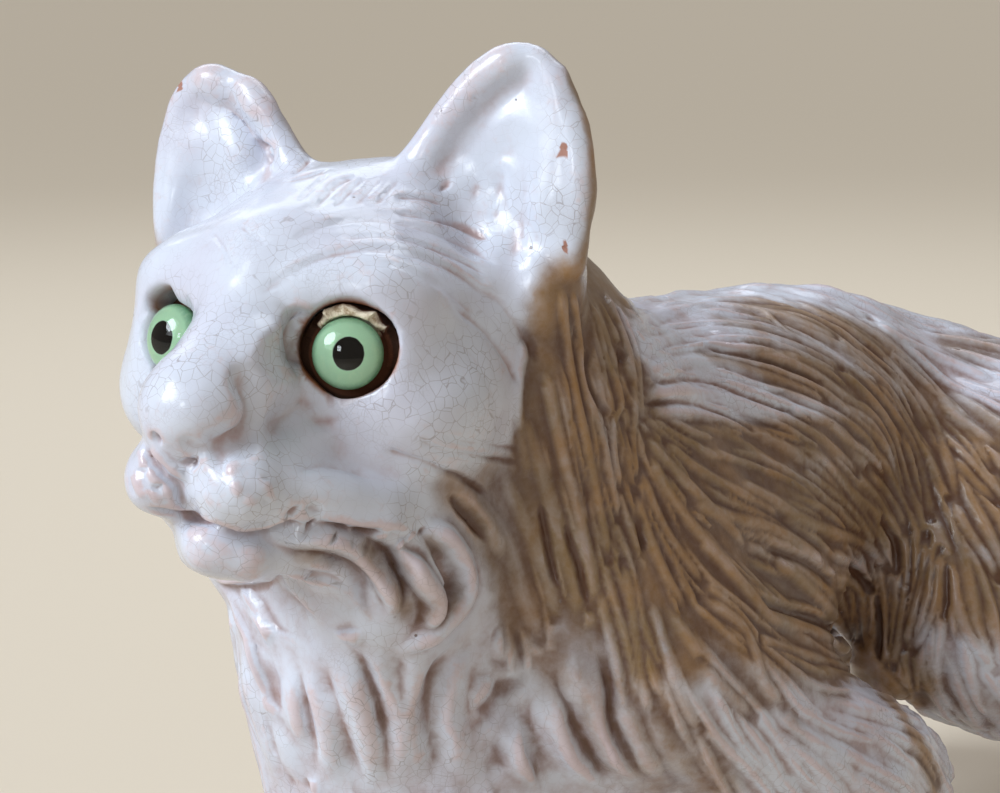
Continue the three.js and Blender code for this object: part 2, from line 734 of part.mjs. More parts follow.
const cat = new THREE.Group();
cat.add(meshOf('cat_body', body, glaze));
for (const [word, side, edge] of [['left', 1, LEFT_EDGE], ['right', -1, RIGHT_EDGE]]) {
  cat.add(meshOf(`eye_${word}`, glassEye(side), glass));
  cat.add(meshOf(`plaster_${word}`, plaster(side, edge), gypsum));
}

// The origin is put under the middle of the whole figure.
const extent = new THREE.Box3().setFromObject(cat, true);
const centre = extent.getCenter(new THREE.Vector3());
cat.position.set(-centre.x, -centre.y, -extent.min.z);

export default cat;
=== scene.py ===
"""Dresses a prowling terracotta cat with its coat, its tin glaze, its glass eyes and their plaster."""

import math

import bmesh
import bpy
import numpy as np
from bpy.props import FloatProperty, FloatVectorProperty, IntProperty, PointerProperty
from mathutils import Matrix, Vector, noise
from mathutils.bvhtree import BVHTree
from mathutils.kdtree import KDTree


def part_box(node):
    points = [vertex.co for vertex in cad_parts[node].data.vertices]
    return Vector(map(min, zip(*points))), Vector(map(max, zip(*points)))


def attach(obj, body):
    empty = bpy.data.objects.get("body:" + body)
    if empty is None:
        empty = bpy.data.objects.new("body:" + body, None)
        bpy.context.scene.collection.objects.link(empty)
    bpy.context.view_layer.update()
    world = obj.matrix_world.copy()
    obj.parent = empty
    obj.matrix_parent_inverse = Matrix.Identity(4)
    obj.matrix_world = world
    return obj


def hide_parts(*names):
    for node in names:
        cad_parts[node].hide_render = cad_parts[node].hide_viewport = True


bl_info = {
    "name": "Glazed cat",
    "version": (1, 0, 0),
    "blender": (4, 5, 0),
    "location": "3D View > Sidebar > Glazed cat",
    "description": "Models the coat, glaze and glass eyes of a terracotta cat",
    "category": "Object",
}

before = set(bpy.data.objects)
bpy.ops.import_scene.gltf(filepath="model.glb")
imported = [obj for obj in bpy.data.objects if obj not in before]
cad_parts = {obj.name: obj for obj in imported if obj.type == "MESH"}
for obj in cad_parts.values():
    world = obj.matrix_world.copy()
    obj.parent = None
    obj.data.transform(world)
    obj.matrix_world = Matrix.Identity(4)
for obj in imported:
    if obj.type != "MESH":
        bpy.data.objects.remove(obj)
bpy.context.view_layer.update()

MM = 0.001

# How close two of the solid's corners are when they are one, in metres.
MERGE = 1e-6

# The modeller's frame, in millimetres: the ground at z = 0 and the middle of the chest at x = y = 0.
# The left eye's box has its middle here in it, and that ties it to the frame of the part.
LEFT_EYE_MIDDLE = Vector((25.633, -81.692, 228.221))

# How the head sits, as the solid parts have it.
HEAD_PLACE = (-8.4, -54.8, 223.6)
HEAD_TURN = 17
HEAD_LIFT = 11.8
EYES = {"left": (24.8, -36.0, -2.8), "right": (-23.2, -36.4, -2.8)}
EYE_SPLAY = 20
SIDES = {"left": 1, "right": -1}

# Where the figure is looked at from, in the modeller's frame, and the size of that picture.
VIEW_PLACE = Vector((368.0, -408.7, 314.0))
VIEW_AZIMUTH = 42.0
VIEW_PITCH = 11.5
VIEW_FOCAL = 2050.0
PICTURE = (1000, 793)
SENSOR = 36.0

HEAD = Matrix.Translation(HEAD_PLACE) @ Matrix.Rotation(math.radians(HEAD_TURN), 4, "Z")
HEAD = HEAD @ Matrix.Rotation(math.radians(-HEAD_LIFT), 4, "X")


def eye_frame(word):
    """An eye's own frame: its Y looks out of the eye and its Z is up."""
    turn = Matrix.Rotation(math.pi + math.radians(EYE_SPLAY) * SIDES[word], 4, "Z")
    return HEAD @ Matrix.Translation(EYES[word]) @ turn


def part_frame():
    """From the modeller's frame to the part's frame in metres."""
    low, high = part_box("eye_left")
    shift = (low + high) / 2 - LEFT_EYE_MIDDLE * MM
    return Matrix.Translation(shift) @ Matrix.Scale(MM, 4)


PART = part_frame()

# The face. Each mark has a half-width and a rise in millimetres, then its way over the picture in pixels.
# A swell or a ridge stands up by its rise, and a cut or a hollow goes in by it.
FACE_SWELLS = {
    "ear, left, rim": (8.5, 2.0, [(412, 172), (438, 138), (468, 98), (500, 66)]),
    "lip, left": (11, 1.2, [(310, 500), (345, 500), (385, 508)]),
    "ear, right, inside": (8, 2.2, [(206, 84), (222, 104), (234, 124), (242, 150)]),
    "nose, beside": (12, 3.0, [(268, 352), (278, 380), (289, 408), (296, 436)]),
    "nose, wing": (6, -2.4, [(246, 384), (249, 390), (253, 405), (251, 419), (246, 429), (234, 438),
        (220, 446)]),
    "nostril, left": (3.6, -1.4, [(190, 446), (194, 450)]),
    "chin": (10, 2.6, [(208, 553), (236, 556)]),
    "under the mouth": (4, -0.6, [(190, 520), (212, 525), (240, 533), (262, 535)]),
    "corner of the eye, left": (4.6, -4.0, [(297, 322), (292, 340), (295, 358)]),
    "brow, left": (9, 1.0, [(314, 284), (345, 272), (380, 274)]),
    "jowl, base": (16, -1.6, [(352, 585), (400, 585), (440, 590)]),
    "throat, hollow": (6.0, -1.2, [(284, 598), (296, 612), (306, 630)]),
    "bead 1 near": (3.0, 0.7, [(231, 463), (232, 470)]),
    "bead 2 near": (2.2, 0.7, [(235, 486), (237, 491)]),
    "bead 3 near": (2.5, 0.5, [(266, 484), (268, 488)]),
    "bead 4 near": (2.2, 0.4, [(272, 496), (274, 499)]),
    "bead 5 near": (2.3, 0.4, [(250, 500), (252, 502)]),
    "bead 6 near": (2.2, 0.4, [(244, 514), (246, 516)]),
    "bead 7 near": (2.3, 0.4, [(286, 497), (288, 499)]),
    "bead 8 near": (2.2, 0.3, [(210, 474), (212, 478)]),
    "bead 9 near": (2.2, 0.3, [(208, 498), (210, 502)]),
    "bead 10 near": (2.0, 0.4, [(278, 509), (280, 511)]),
    "bead 1 far": (2.6, 0.8, [(141, 453), (144, 463)]),
    "bead 2 far": (2.2, 0.7, [(152, 474), (155, 480)]),
    "bead 3 far": (2.2, 0.6, [(163, 482), (167, 488)]),
    "bead 4 far": (2.4, 0.6, [(136, 482), (141, 492)]),
    "bead 5 far": (2.2, 0.6, [(152, 492), (157, 498)]),
    "bead 6 far": (2.0, 0.5, [(168, 496), (171, 501)]),
}
# A ledge stands up on the left of its way, as one goes along it, and falls away steeply on the right.
FACE_LEDGES = {
    "lip, left": (5, 1.7, [(306, 512), (332, 521), (350, 526), (372, 529), (400, 532), (424, 540)]),
    "wing of the nose": (5, 0.9, [(209, 448), (222, 442), (234, 435), (246, 427), (251, 418), (252, 405),
        (247, 391), (241, 380)]),
    "upper lip": (5, 1.4, [(139, 505), (155, 510), (174, 512), (190, 515), (209, 519), (225, 525),
        (242, 530), (263, 528), (282, 523), (293, 512), (303, 502)]),
    "chin": (7, 2.6, [(204, 578), (212, 581), (231, 583), (250, 583), (266, 580), (282, 573)]),
    "fold under the chin": (7.0, 1.8, [(352, 602), (340, 590), (327, 582), (309, 576), (293, 572),
        (272, 577)]),
    "fold of the throat": (7.2, 0.9, [(272, 581), (290, 594), (310, 612), (329, 630)]),
}
FACE_CUTS = {
    "temple 4": (2.0, 0.8, [(452, 306), (480, 326), (504, 356), (520, 390)]),
    "temple 3": (2.2, 0.9, [(470, 284), (498, 300), (520, 330), (540, 366)]),
    "wing of the nose": (1.6, 0.9, [(241, 380), (247, 391), (252, 405), (251, 418), (246, 427),
        (234, 435), (222, 442), (209, 448)]),
    "nostril, left": (2.8, 2.8, [(187, 457), (190, 464), (191, 471)]),
    "nostril, left, upper": (1.8, 1.4, [(199, 456), (194, 463), (190, 468)]),
    "nostril, right": (2.0, 2.4, [(150, 430), (155, 438), (160, 448)]),
    "philtrum": (1.9, 1.8, [(143, 447), (155, 463), (166, 477), (179, 487), (181, 496), (183, 504),
        (186, 511)]),
    "pad, left": (1.5, 0.4, [(226, 456), (222, 464), (224, 474), (228, 482), (231, 491)]),
    "pad, left, arc": (1.2, 0.5, [(199, 490), (197, 476), (203, 466), (212, 460)]),
    "pad, left, over": (1.2, 0.4, [(240, 460), (252, 452), (262, 446)]),
    "pad, right 1": (1.2, 1.0, [(134, 470), (144, 471), (150, 466)]),
    "pad, right 2": (1.2, 1.0, [(146, 486), (158, 487), (165, 478)]),
    "pad, right 3": (1.2, 0.9, [(128, 474), (131, 488), (136, 500)]),
    "bead, over": (1.0, 0.7, [(262, 482), (266, 478), (272, 479)]),
    "bead, under": (1.0, 0.6, [(260, 505), (266, 501), (272, 504)]),
    "mouth": (2.2, 2.6, [(144, 507), (160, 511), (180, 513), (200, 517), (222, 524), (242, 530),
        (264, 529), (284, 524), (304, 521)]),
    "corner of the mouth": (1.8, 2.2, [(282, 520), (292, 511), (303, 502)]),
    "corner of the mouth, upper": (2.4, 1.6, [(300, 506), (312, 508), (325, 513)]),
    "over the lip": (2.0, 0.5, [(291, 477), (304, 470), (321, 466), (336, 468), (350, 472), (375, 481)]),
    "under the lip": (2.2, 2.0, [(322, 520), (350, 528), (372, 531), (396, 529)]),
    "pit 1": (2.9, 2.1, [(306, 521), (311, 524)]),
    "pit 2": (2.6, 2.0, [(330, 530), (335, 534)]),
    "pit 3": (1.9, 1.3, [(261, 523), (265, 525)]),
    "pit 4": (3.1, 1.8, [(356, 541), (368, 547), (378, 550)]),
    "pit 5": (2.4, 1.6, [(420, 528), (424, 533)]),
    "pit 6": (1.9, 1.0, [(346, 536), (352, 540)]),
    "under the eye": (3.2, 1.0, [(298, 424), (322, 422), (349, 415)]),
    "corner of the eye, left": (1.8, 1.2, [(270, 356), (284, 358), (296, 366)]),
    "brow 1": (1.8, 0.6, [(257, 296), (297, 270), (341, 254), (394, 252), (439, 265), (479, 288),
        (506, 310)]),
    "brow 2": (1.6, 0.6, [(288, 240), (332, 224), (377, 220), (421, 229), (466, 247), (501, 266)]),
    "brow 3": (1.5, 0.6, [(340, 240), (385, 236), (425, 246), (462, 266), (492, 288)]),
    "brow 4": (1.4, 0.4, [(360, 268), (395, 266), (425, 278), (455, 298), (480, 322)]),
    "temple 2": (1.4, 0.3, [(446, 330), (472, 356), (490, 388), (500, 420)]),
    "cheek 1": (1.5, 0.9, [(384, 449), (405, 457), (427, 464), (443, 471), (462, 478), (477, 487),
        (489, 495)]),
    "cheek 2": (1.4, 0.8, [(418, 440), (439, 450), (464, 455), (491, 459), (518, 463)]),
    "cheek 3": (1.3, 0.6, [(440, 436), (466, 442), (496, 446), (520, 450)]),
    "crown 1": (1.4, 0.7, [(298, 202), (312, 187), (328, 173)]),
    "crown 2": (1.5, 0.8, [(314, 210), (330, 192), (346, 176)]),
    "crown 3": (1.4, 0.7, [(334, 208), (350, 191), (364, 176)]),
    "crown 4": (1.5, 0.7, [(354, 206), (368, 191), (381, 177)]),
    "crown 6": (1.4, 0.8, [(374, 206), (387, 192), (398, 180)]),
    "crown 7": (1.4, 0.5, [(394, 208), (406, 197), (416, 187)]),
    "crown 8": (1.3, 0.6, [(210, 230), (224, 246), (232, 268)]),
    "crown 9": (1.3, 0.6, [(236, 222), (252, 236), (268, 246)]),
    "crown 5": (1.4, 0.4, [(300, 212), (330, 200), (366, 194)]),
    "ear, right, root 1": (1.8, 1.4, [(255, 138), (271, 154), (268, 166)]),
    "ear, right, root 2": (1.7, 1.2, [(281, 182), (305, 176), (331, 168)]),
    "ear, right, root 3": (1.7, 1.2, [(293, 175), (308, 160), (318, 152)]),
    "ear, right, root 4": (1.7, 1.2, [(325, 194), (340, 181), (358, 176)]),
    "ear, left, root 1": (1.8, 1.2, [(390, 197), (424, 197), (448, 207)]),
    "ear, left, root 2": (1.8, 1.2, [(390, 212), (424, 217), (459, 226), (493, 242)]),
    "ear, left, root 3": (1.7, 1.0, [(390, 233), (424, 245), (459, 259), (490, 276)]),
    "ear, left, root 4": (1.8, 1.3, [(452, 177), (444, 186), (437, 194)]),
    "ear, left, fold 1": (1.8, 0.6, [(500, 178), (499, 190), (496, 202)]),
    "ear, left, fold 2": (1.8, 0.5, [(490, 209), (497, 216), (502, 224)]),
    "ear, left, fold 3": (1.8, 0.5, [(520, 222), (524, 234), (527, 246)]),
    "ear, left, fold 4": (2.0, 0.6, [(478, 176), (474, 192), (470, 205)]),
}
FACE_RIDGES = {
    "ear, right, tip": (6, 1.8, [(226, 70), (248, 86), (264, 108), (280, 130)]),
    "ear, left, back": (6, 1.5, [(552, 56), (568, 74), (578, 100), (584, 136), (588, 180), (589, 220),
        (590, 256)]),
    "jowl 3": (4.6, 3.4, [(416, 521), (437, 533), (453, 550), (463, 569), (466, 589), (458, 607),
        (443, 623), (422, 640), (398, 657)]),
    "jowl 1": (4.0, 4.2, [(262, 536), (300, 534), (331, 539), (356, 551), (377, 567), (389, 586),
        (394, 606), (391, 622)]),
    "jowl 2": (3.7, 4.6, [(390, 549), (412, 566), (426, 582), (437, 601), (430, 621), (413, 634)]),
    "philtrum, right": (2.2, 1.6, [(142, 437), (152, 446), (163, 457), (172, 466), (181, 474), (191, 483)]),
    "philtrum, left": (2.2, 0.6, [(191, 483), (201, 468), (212, 459), (224, 457)]),
    "corner of the eye, left": (1.5, 1.2, [(287, 359), (296, 366), (304, 371)]),
    "scrap 1": (2.0, 1.8, [(338, 529), (347, 531), (357, 530)]),
    "scrap 2": (1.8, 1.6, [(371, 532), (382, 533), (393, 531)]),
    "scrap 3": (2.0, 1.6, [(398, 543), (404, 547)]),
    "scrap 4": (2.0, 1.4, [(409, 534), (413, 539)]),
    "scrap 5": (1.8, 1.4, [(318, 526), (324, 531)]),
    "ear, left, tuft 1": (3.1, 0.8, [(486, 177), (492, 170), (500, 166), (509, 167), (514, 183),
        (517, 206), (521, 224)]),
    "ear, left, tuft 2": (2.9, 0.8, [(521, 224), (527, 236), (534, 250)]),
    "brow 1": (2.4, 0.5, [(270, 286), (300, 262), (345, 245), (392, 243), (434, 255), (474, 277),
        (502, 300)]),
    "brow 2": (2.2, 0.4, [(310, 222), (345, 212), (385, 210), (428, 220), (470, 238)]),
    "jowl 4": (3.4, 1.1, [(450, 486), (470, 502), (488, 524), (500, 546), (508, 566)]),
}
JOWL_CUTS = {
    "jowl, behind": (2.8, 2.2, [(446, 494), (462, 508), (478, 526), (489, 544)]),
    "jowl, outer": (3.4, 3.0, [(426, 536), (438, 548), (450, 564), (457, 582), (450, 598), (440, 610)]),
    "jowl, inner": (4.4, 2.8, [(300, 556), (319, 556), (338, 563), (353, 582), (361, 601), (364, 618)]),
    "jowl, middle": (4.8, 4.0, [(353, 541), (371, 550), (388, 562), (400, 580), (404, 598), (404, 612)]),
}

# The neck, the chest and the flank, the same way. Their ridges and cuts also comb the hair between them.
NECK_RIDGES = {
    "strap 10": (2.2, 0.7, [(528, 330), (520, 368), (518, 404), (522, 440), (530, 480)]),
    "strap 1": (2.9, 0.7, [(462, 490), (482, 508), (498, 530), (510, 552), (518, 580), (530, 612),
        (540, 640)]),
    "strap 2": (2.4, 0.7, [(500, 470), (514, 500), (528, 530), (540, 560), (550, 590), (556, 620)]),
    "strap 3": (2.5, 0.8, [(520, 410), (532, 446), (545, 484), (556, 520), (566, 556), (574, 590),
        (578, 620)]),
    "strap 4": (2.2, 1.3, [(545, 370), (553, 410), (562, 450), (572, 490), (582, 530), (590, 566),
        (596, 600)]),
    "strap 5": (2.0, 1.3, [(561, 285), (564, 325), (569, 365), (577, 405), (586, 445), (594, 485),
        (602, 525), (608, 560)]),
    "strap 6": (1.7, 1.2, [(572, 290), (577, 330), (582, 370), (592, 408), (602, 440), (610, 480),
        (618, 520)]),
    "strap 7": (1.6, 1.2, [(590, 300), (598, 328), (606, 361), (618, 389), (620, 404), (613, 420),
        (613, 450), (620, 490)]),
    "strap 8": (1.6, 1.1, [(604, 290), (616, 318), (626, 344), (632, 372), (634, 410), (632, 440),
        (636, 480)]),
    "strap 9": (1.4, 0.9, [(612, 300), (626, 324), (635, 350), (639, 384), (641, 420)]),
    "foot 1": (1.9, 1.2, [(500, 626), (498, 648), (504, 668)]),
    "foot 2": (1.4, 0.8, [(520, 628), (526, 652), (528, 674)]),
    "foot 3": (1.9, 1.0, [(600, 590), (606, 620), (614, 650), (620, 690), (626, 720)]),
    "foot 4": (1.9, 1.0, [(622, 560), (630, 600), (636, 640), (642, 680), (650, 716)]),
    "foot 5": (2.3, 1.0, [(650, 600), (660, 636), (670, 670), (684, 704), (700, 730)]),
}
NECK_CUTS = {
    "strap 1": (1.8, 1.4, [(539, 500), (545, 530), (550, 557), (556, 590)]),
    "strap 2": (1.8, 1.5, [(563, 519), (571, 545), (579, 569), (588, 607)]),
    "strap 3": (2.0, 1.7, [(588, 345), (586, 372), (592, 394), (602, 410)]),
    "strap 4": (1.8, 1.4, [(617, 345), (621, 356), (620, 368)]),
    "strap 5": (1.6, 1.4, [(638, 510), (641, 530), (644, 556)]),
    "foot 1": (1.8, 0.7, [(496, 622), (497, 650), (505, 672)]),
    "foot 2": (1.8, 0.8, [(515, 626), (522, 650), (525, 674)]),
}
CHEST_LEDGES = {
    "bib, edge": (9.6, 0.8, [(306, 654), (294, 638), (275, 627), (254, 612), (237, 597), (226, 585)]),
    "bib, flap": (6.0, 1.2, [(289, 715), (275, 705), (256, 686)]),
    "shelf": (6.0, 1.6, [(366, 632), (346, 631), (329, 632)]),
    "brown groove": (7.0, 2.4, [(388, 768), (386, 751), (380, 728), (371, 694), (354, 656), (344, 640)]),
    "red groove": (6.0, 1.8, [(312, 770), (314, 751), (306, 713), (302, 690), (296, 668)]),
    "throat 4": (6.0, 1.6, [(550, 680), (561, 699), (569, 726), (577, 745), (598, 777), (610, 796)][::-1]),
    "throat 5": (6.0, 1.6, [(590, 645), (598, 663), (604, 687), (607, 720), (617, 745), (646, 787)][::-1]),
    "throat 3": (5.0, 1.4, [(521, 722), (523, 752), (535, 777), (543, 796)][::-1]),
}
CHEST_RIDGES = {
    "bib 1": (5.4, 1.0, [(240, 642), (246, 680), (256, 715), (268, 750), (280, 790)]),
    "bib 2": (6.3, 1.2, [(268, 714), (282, 730), (291, 756), (299, 790)]),
    "bib 3": (5.4, 1.5, [(283, 650), (290, 675), (294, 702), (298, 732), (301, 762)]),
    "bib 4": (6.1, 2.1, [(304, 652), (314, 680), (321, 706), (327, 735), (331, 765), (335, 792)]),
    "bib 5": (5.5, 2.1, [(330, 645), (341, 668), (352, 695), (362, 722), (370, 750), (376, 790)]),
    "bib 6": (6.4, 2.3, [(368, 640), (380, 662), (390, 690), (397, 715), (401, 745), (405, 790)]),
    "throat 1": (7.0, 2.5, [(440, 642), (424, 656), (413, 676), (409, 704), (414, 740), (412, 790)]),
    "throat 2": (6.6, 2.8, [(486, 650), (464, 662), (450, 684), (445, 712), (450, 737), (462, 760),
        (470, 790)]),
    "throat 2, inner": (4.9, 1.8, [(496, 676), (482, 692), (472, 712)]),
    "throat 3": (5.3, 2.2, [(508, 706), (513, 722), (516, 742), (523, 768), (531, 793)]),
    "throat 4": (6.4, 2.6, [(536, 672), (545, 694), (556, 722), (567, 748), (581, 770), (594, 793)]),
    "throat 5": (6.6, 2.6, [(570, 640), (578, 680), (588, 710), (604, 739), (621, 764), (640, 789)]),
    "throat 6": (4.9, 1.8, [(612, 690), (626, 724), (646, 754), (668, 786)]),
    "throat 7": (5.5, 1.6, [(646, 706), (660, 736), (680, 764), (700, 790)]),
}
CHEST_CUTS = {
    "crescent": (5.6, 2.0, [(466, 650), (449, 655), (439, 668), (430, 687), (425, 710), (428, 733),
        (437, 749), (431, 764), (441, 783)]),
    "hook": (4.6, 1.6, [(525, 664), (519, 681), (502, 691), (489, 702), (485, 718), (473, 726), (458, 728)]),
    "ragged groove": (5.1, 1.5, [(487, 728), (491, 745), (496, 756), (493, 768), (502, 787)]),
    "throat, groove 1": (7.0, 0.8, [(530, 726), (541, 744), (552, 764), (565, 786)]),
    "throat, groove 2": (7.0, 1.1, [(556, 664), (566, 690), (575, 716), (586, 742), (602, 768), (614, 790)]),
    "throat, groove 3": (6.5, 0.9, [(594, 640), (602, 664), (608, 692), (612, 720), (624, 748), (640, 770)]),
    "bib, brown": (5.8, 1.5, [(344, 638), (354, 656), (363, 675), (371, 694), (377, 713), (382, 730),
        (387, 751), (389, 766)]),
    "bib, notch": (5.4, 1.3, [(392, 644), (394, 664), (400, 688), (404, 712)]),
    "bib, red": (4.2, 1.0, [(296, 671), (302, 690), (306, 713), (310, 732), (314, 751), (312, 772)]),
    "bib, pocket": (4.6, 1.1, [(266, 654), (270, 673), (277, 694), (284, 708)]),
    "bib, line 1": (1.8, 0.4, [(264, 713), (273, 738), (283, 763)]),
    "bib, line 2": (1.8, 0.4, [(252, 694), (260, 722), (268, 747)]),
    "bib, line 3": (2.1, 0.5, [(289, 772), (296, 789)]),
    "bib, line 4": (2.1, 0.5, [(304, 776), (312, 793)]),
    "bib, soft": (4.2, 0.6, [(318, 662), (327, 686), (335, 710)]),
    "bib, low": (4.6, 0.9, [(346, 716), (346, 738), (350, 753), (356, 770), (360, 790)]),
}
FLANK_RIDGES = {
    "back 1": (2.4, 0.7, [(622, 304), (660, 294), (700, 290), (745, 292), (786, 300)]),
    "back 2": (2.4, 0.9, [(630, 326), (666, 312), (704, 305), (748, 308), (796, 320), (836, 338)]),
    "back 3": (2.4, 0.9, [(640, 350), (676, 336), (714, 330), (756, 334), (800, 348), (840, 368)]),
    "back 4": (2.4, 0.9, [(644, 372), (680, 362), (714, 362), (752, 372), (790, 384), (826, 402)]),
    "back 5": (2.4, 1.0, [(646, 394), (690, 391), (720, 397), (756, 408), (796, 424), (830, 446),
        (856, 474)]),
    "back 6": (2.4, 1.0, [(650, 414), (690, 414), (724, 422), (764, 436), (800, 456), (830, 482),
        (852, 514)]),
    "back 7": (2.6, 1.1, [(756, 304), (782, 330), (812, 346), (846, 366), (880, 396), (906, 432),
        (922, 474), (930, 520)]),
    "back 8": (2.6, 1.1, [(790, 300), (828, 318), (866, 342), (900, 376), (928, 414), (946, 456),
        (956, 500)]),
    "back 9": (2.6, 1.0, [(830, 306), (868, 330), (904, 358), (938, 392), (966, 430), (992, 470)]),
    "fan 1": (2.2, 1.2, [(646, 436), (660, 455), (673, 469), (697, 494), (722, 519), (746, 546)]),
    "fan 2": (2.2, 1.2, [(648, 452), (660, 478), (676, 504), (696, 530), (722, 561)]),
    "fan 3": (2.2, 1.2, [(640, 470), (650, 500), (664, 530), (684, 560), (704, 584)]),
    "fan 4": (2.2, 1.1, [(634, 490), (643, 520), (655, 552), (670, 584), (686, 610)]),
    "fan 5": (2.2, 1.2, [(664, 442), (690, 464), (720, 484), (752, 500), (780, 516)]),
    "lock 1": (2.6, 1.4, [(690, 502), (729, 517), (767, 527), (800, 545), (826, 566)]),
    "lock 2": (2.8, 1.6, [(740, 484), (773, 502), (803, 521), (834, 534), (866, 546), (886, 568)]),
    "lock 3": (2.6, 1.5, [(800, 470), (824, 488), (846, 506), (861, 525), (874, 548)]),
    "lock 4": (2.6, 1.5, [(866, 470), (884, 492), (897, 512), (906, 532)]),
    "lock 5": (2.8, 1.6, [(700, 538), (723, 563), (750, 594), (769, 617), (796, 626), (822, 636),
        (849, 652)]),
    "lock 6": (2.8, 1.6, [(773, 561), (796, 578), (819, 599), (844, 630), (863, 653), (883, 674)]),
    "lock 7": (2.4, 1.5, [(834, 575), (856, 588), (864, 612), (868, 638), (873, 664)]),
    "lock 8": (2.0, 1.4, [(876, 560), (884, 592), (886, 630), (884, 668)]),
    "lock 9": (2.0, 1.4, [(904, 530), (907, 566), (904, 600), (899, 636), (893, 668)]),
    "lock 10": (2.0, 1.4, [(926, 536), (923, 572), (916, 607), (904, 648)]),
    "lock 11": (2.0, 1.2, [(940, 550), (938, 586), (930, 620), (914, 652)]),
    "lock 12": (2.6, 1.2, [(700, 599), (723, 611), (742, 627), (754, 652), (764, 682), (784, 706)]),
    "lock 13": (2.6, 1.1, [(700, 662), (721, 687), (738, 703), (754, 718)]),
    "lock 14": (2.4, 1.1, [(760, 640), (790, 650), (820, 660), (846, 668)]),
    "arm, edge": (3.0, 1.1, [(846, 660), (868, 667), (888, 679), (904, 697), (917, 718), (930, 740),
        (950, 770)]),
    "haunch 1": (2.8, 1.4, [(870, 320), (910, 344), (950, 362), (995, 382)]),
    "haunch 2": (2.8, 1.4, [(936, 400), (960, 420), (998, 448)]),
    "haunch 3": (2.8, 1.4, [(950, 452), (972, 480), (998, 504)]),
    "haunch 4": (2.6, 1.4, [(950, 500), (966, 530), (984, 556), (999, 580)]),
    "haunch 5": (2.6, 1.4, [(949, 560), (956, 600), (972, 640), (996, 672)]),
}
FLANK_CUTS = {
    "back 1": (1.6, 1.0, [(656, 384), (689, 379), (714, 383), (747, 396), (790, 412)]),
    "back 2": (1.6, 1.0, [(643, 404), (689, 402), (714, 410), (756, 434)]),
    "back 3": (1.8, 1.0, [(706, 348), (747, 356), (789, 368), (820, 384)]),
    "lock, under 1": (2.2, 1.5, [(766, 548), (790, 556), (812, 566), (836, 586)]),
    "lock, under 2": (2.2, 1.7, [(762, 602), (790, 612), (820, 622), (842, 640)]),
    "lock, under 3": (2.2, 1.7, [(846, 566), (858, 576), (870, 590)]),
    "deep 1": (2.2, 2.0, [(880, 520), (894, 540), (896, 570)]),
    "deep 2": (2.0, 2.0, [(878, 600), (880, 630), (879, 664)]),
    "deep 3": (2.0, 1.8, [(946, 560), (948, 590), (944, 616)]),
}


def ease(values, low, high):
    """Rises smoothly from 0 at low to 1 at high."""
    t = np.clip((values - low) / (high - low), 0, 1)
    return t * t * (3 - 2 * t)


def unit(vectors):
    return vectors / np.maximum(np.linalg.norm(vectors, axis=-1, keepdims=True), 1e-12)


def moved(points, matrix):
    """Points put through a 4 by 4 matrix."""
    matrix = np.array(matrix)
    return points @ matrix[:3, :3].T + matrix[:3, 3]


class Skin:
    """The surface of an object as arrays, in the modeller's millimetres."""

    def __init__(self, mesh, grain):
        self.mesh = mesh
        self.grain = grain
        self.places = np.empty(len(mesh.vertices) * 3)
        mesh.vertices.foreach_get("co", self.places)
        self.places = self.places.reshape(-1, 3)
        edges = np.empty(len(mesh.edges) * 2, np.int64)
        mesh.edges.foreach_get("vertices", edges)
        self.ends = np.concatenate([edges[0::2], edges[1::2]])
        self.others = np.concatenate([edges[1::2], edges[0::2]])
        self.degree = np.maximum(np.bincount(self.ends, minlength=len(self.places)), 1)
        lengths = np.linalg.norm(self.places[self.ends] - self.places[self.others], axis=1)
        spacing = np.bincount(self.ends, lengths, len(self.places)) / self.degree
        self.rate = 0.5 * np.minimum(grain / np.maximum(spacing, 1e-9), 1) ** 2
        mesh.calc_loop_triangles()
        triangles = np.empty(len(mesh.loop_triangles) * 3, np.int64)
        mesh.loop_triangles.foreach_get("vertices", triangles)
        self.triangles = triangles.reshape(-1, 3)

    def spread(self, values, reach):
        """Values evened out over the surface, as far as a reach in millimetres."""
        values = values.copy()
        columns = values.reshape(len(values), -1)
        for _ in range(round(4 * (reach / self.grain) ** 2)):
            for column in columns.T:
                mean = np.bincount(self.ends, column[self.others], len(column)) / self.degree
                column += self.rate * (mean - column)
        return values

    def normals(self, places=None):
        places = self.places if places is None else places
        a, b, c = (places[self.triangles[:, n]] for n in range(3))
        faces = np.cross(b - a, c - a)
        total = np.zeros_like(places)
        for n in range(3):
            for m in range(3):
                total[:, m] += np.bincount(self.triangles[:, n], faces[:, m], len(places))
        return unit(total)

    def tree(self, places):
        return BVHTree.FromPolygons(places.tolist(), self.triangles.tolist())

    def keep(self):
        self.mesh.vertices.foreach_set("co", self.places.ravel())
        self.mesh.update()


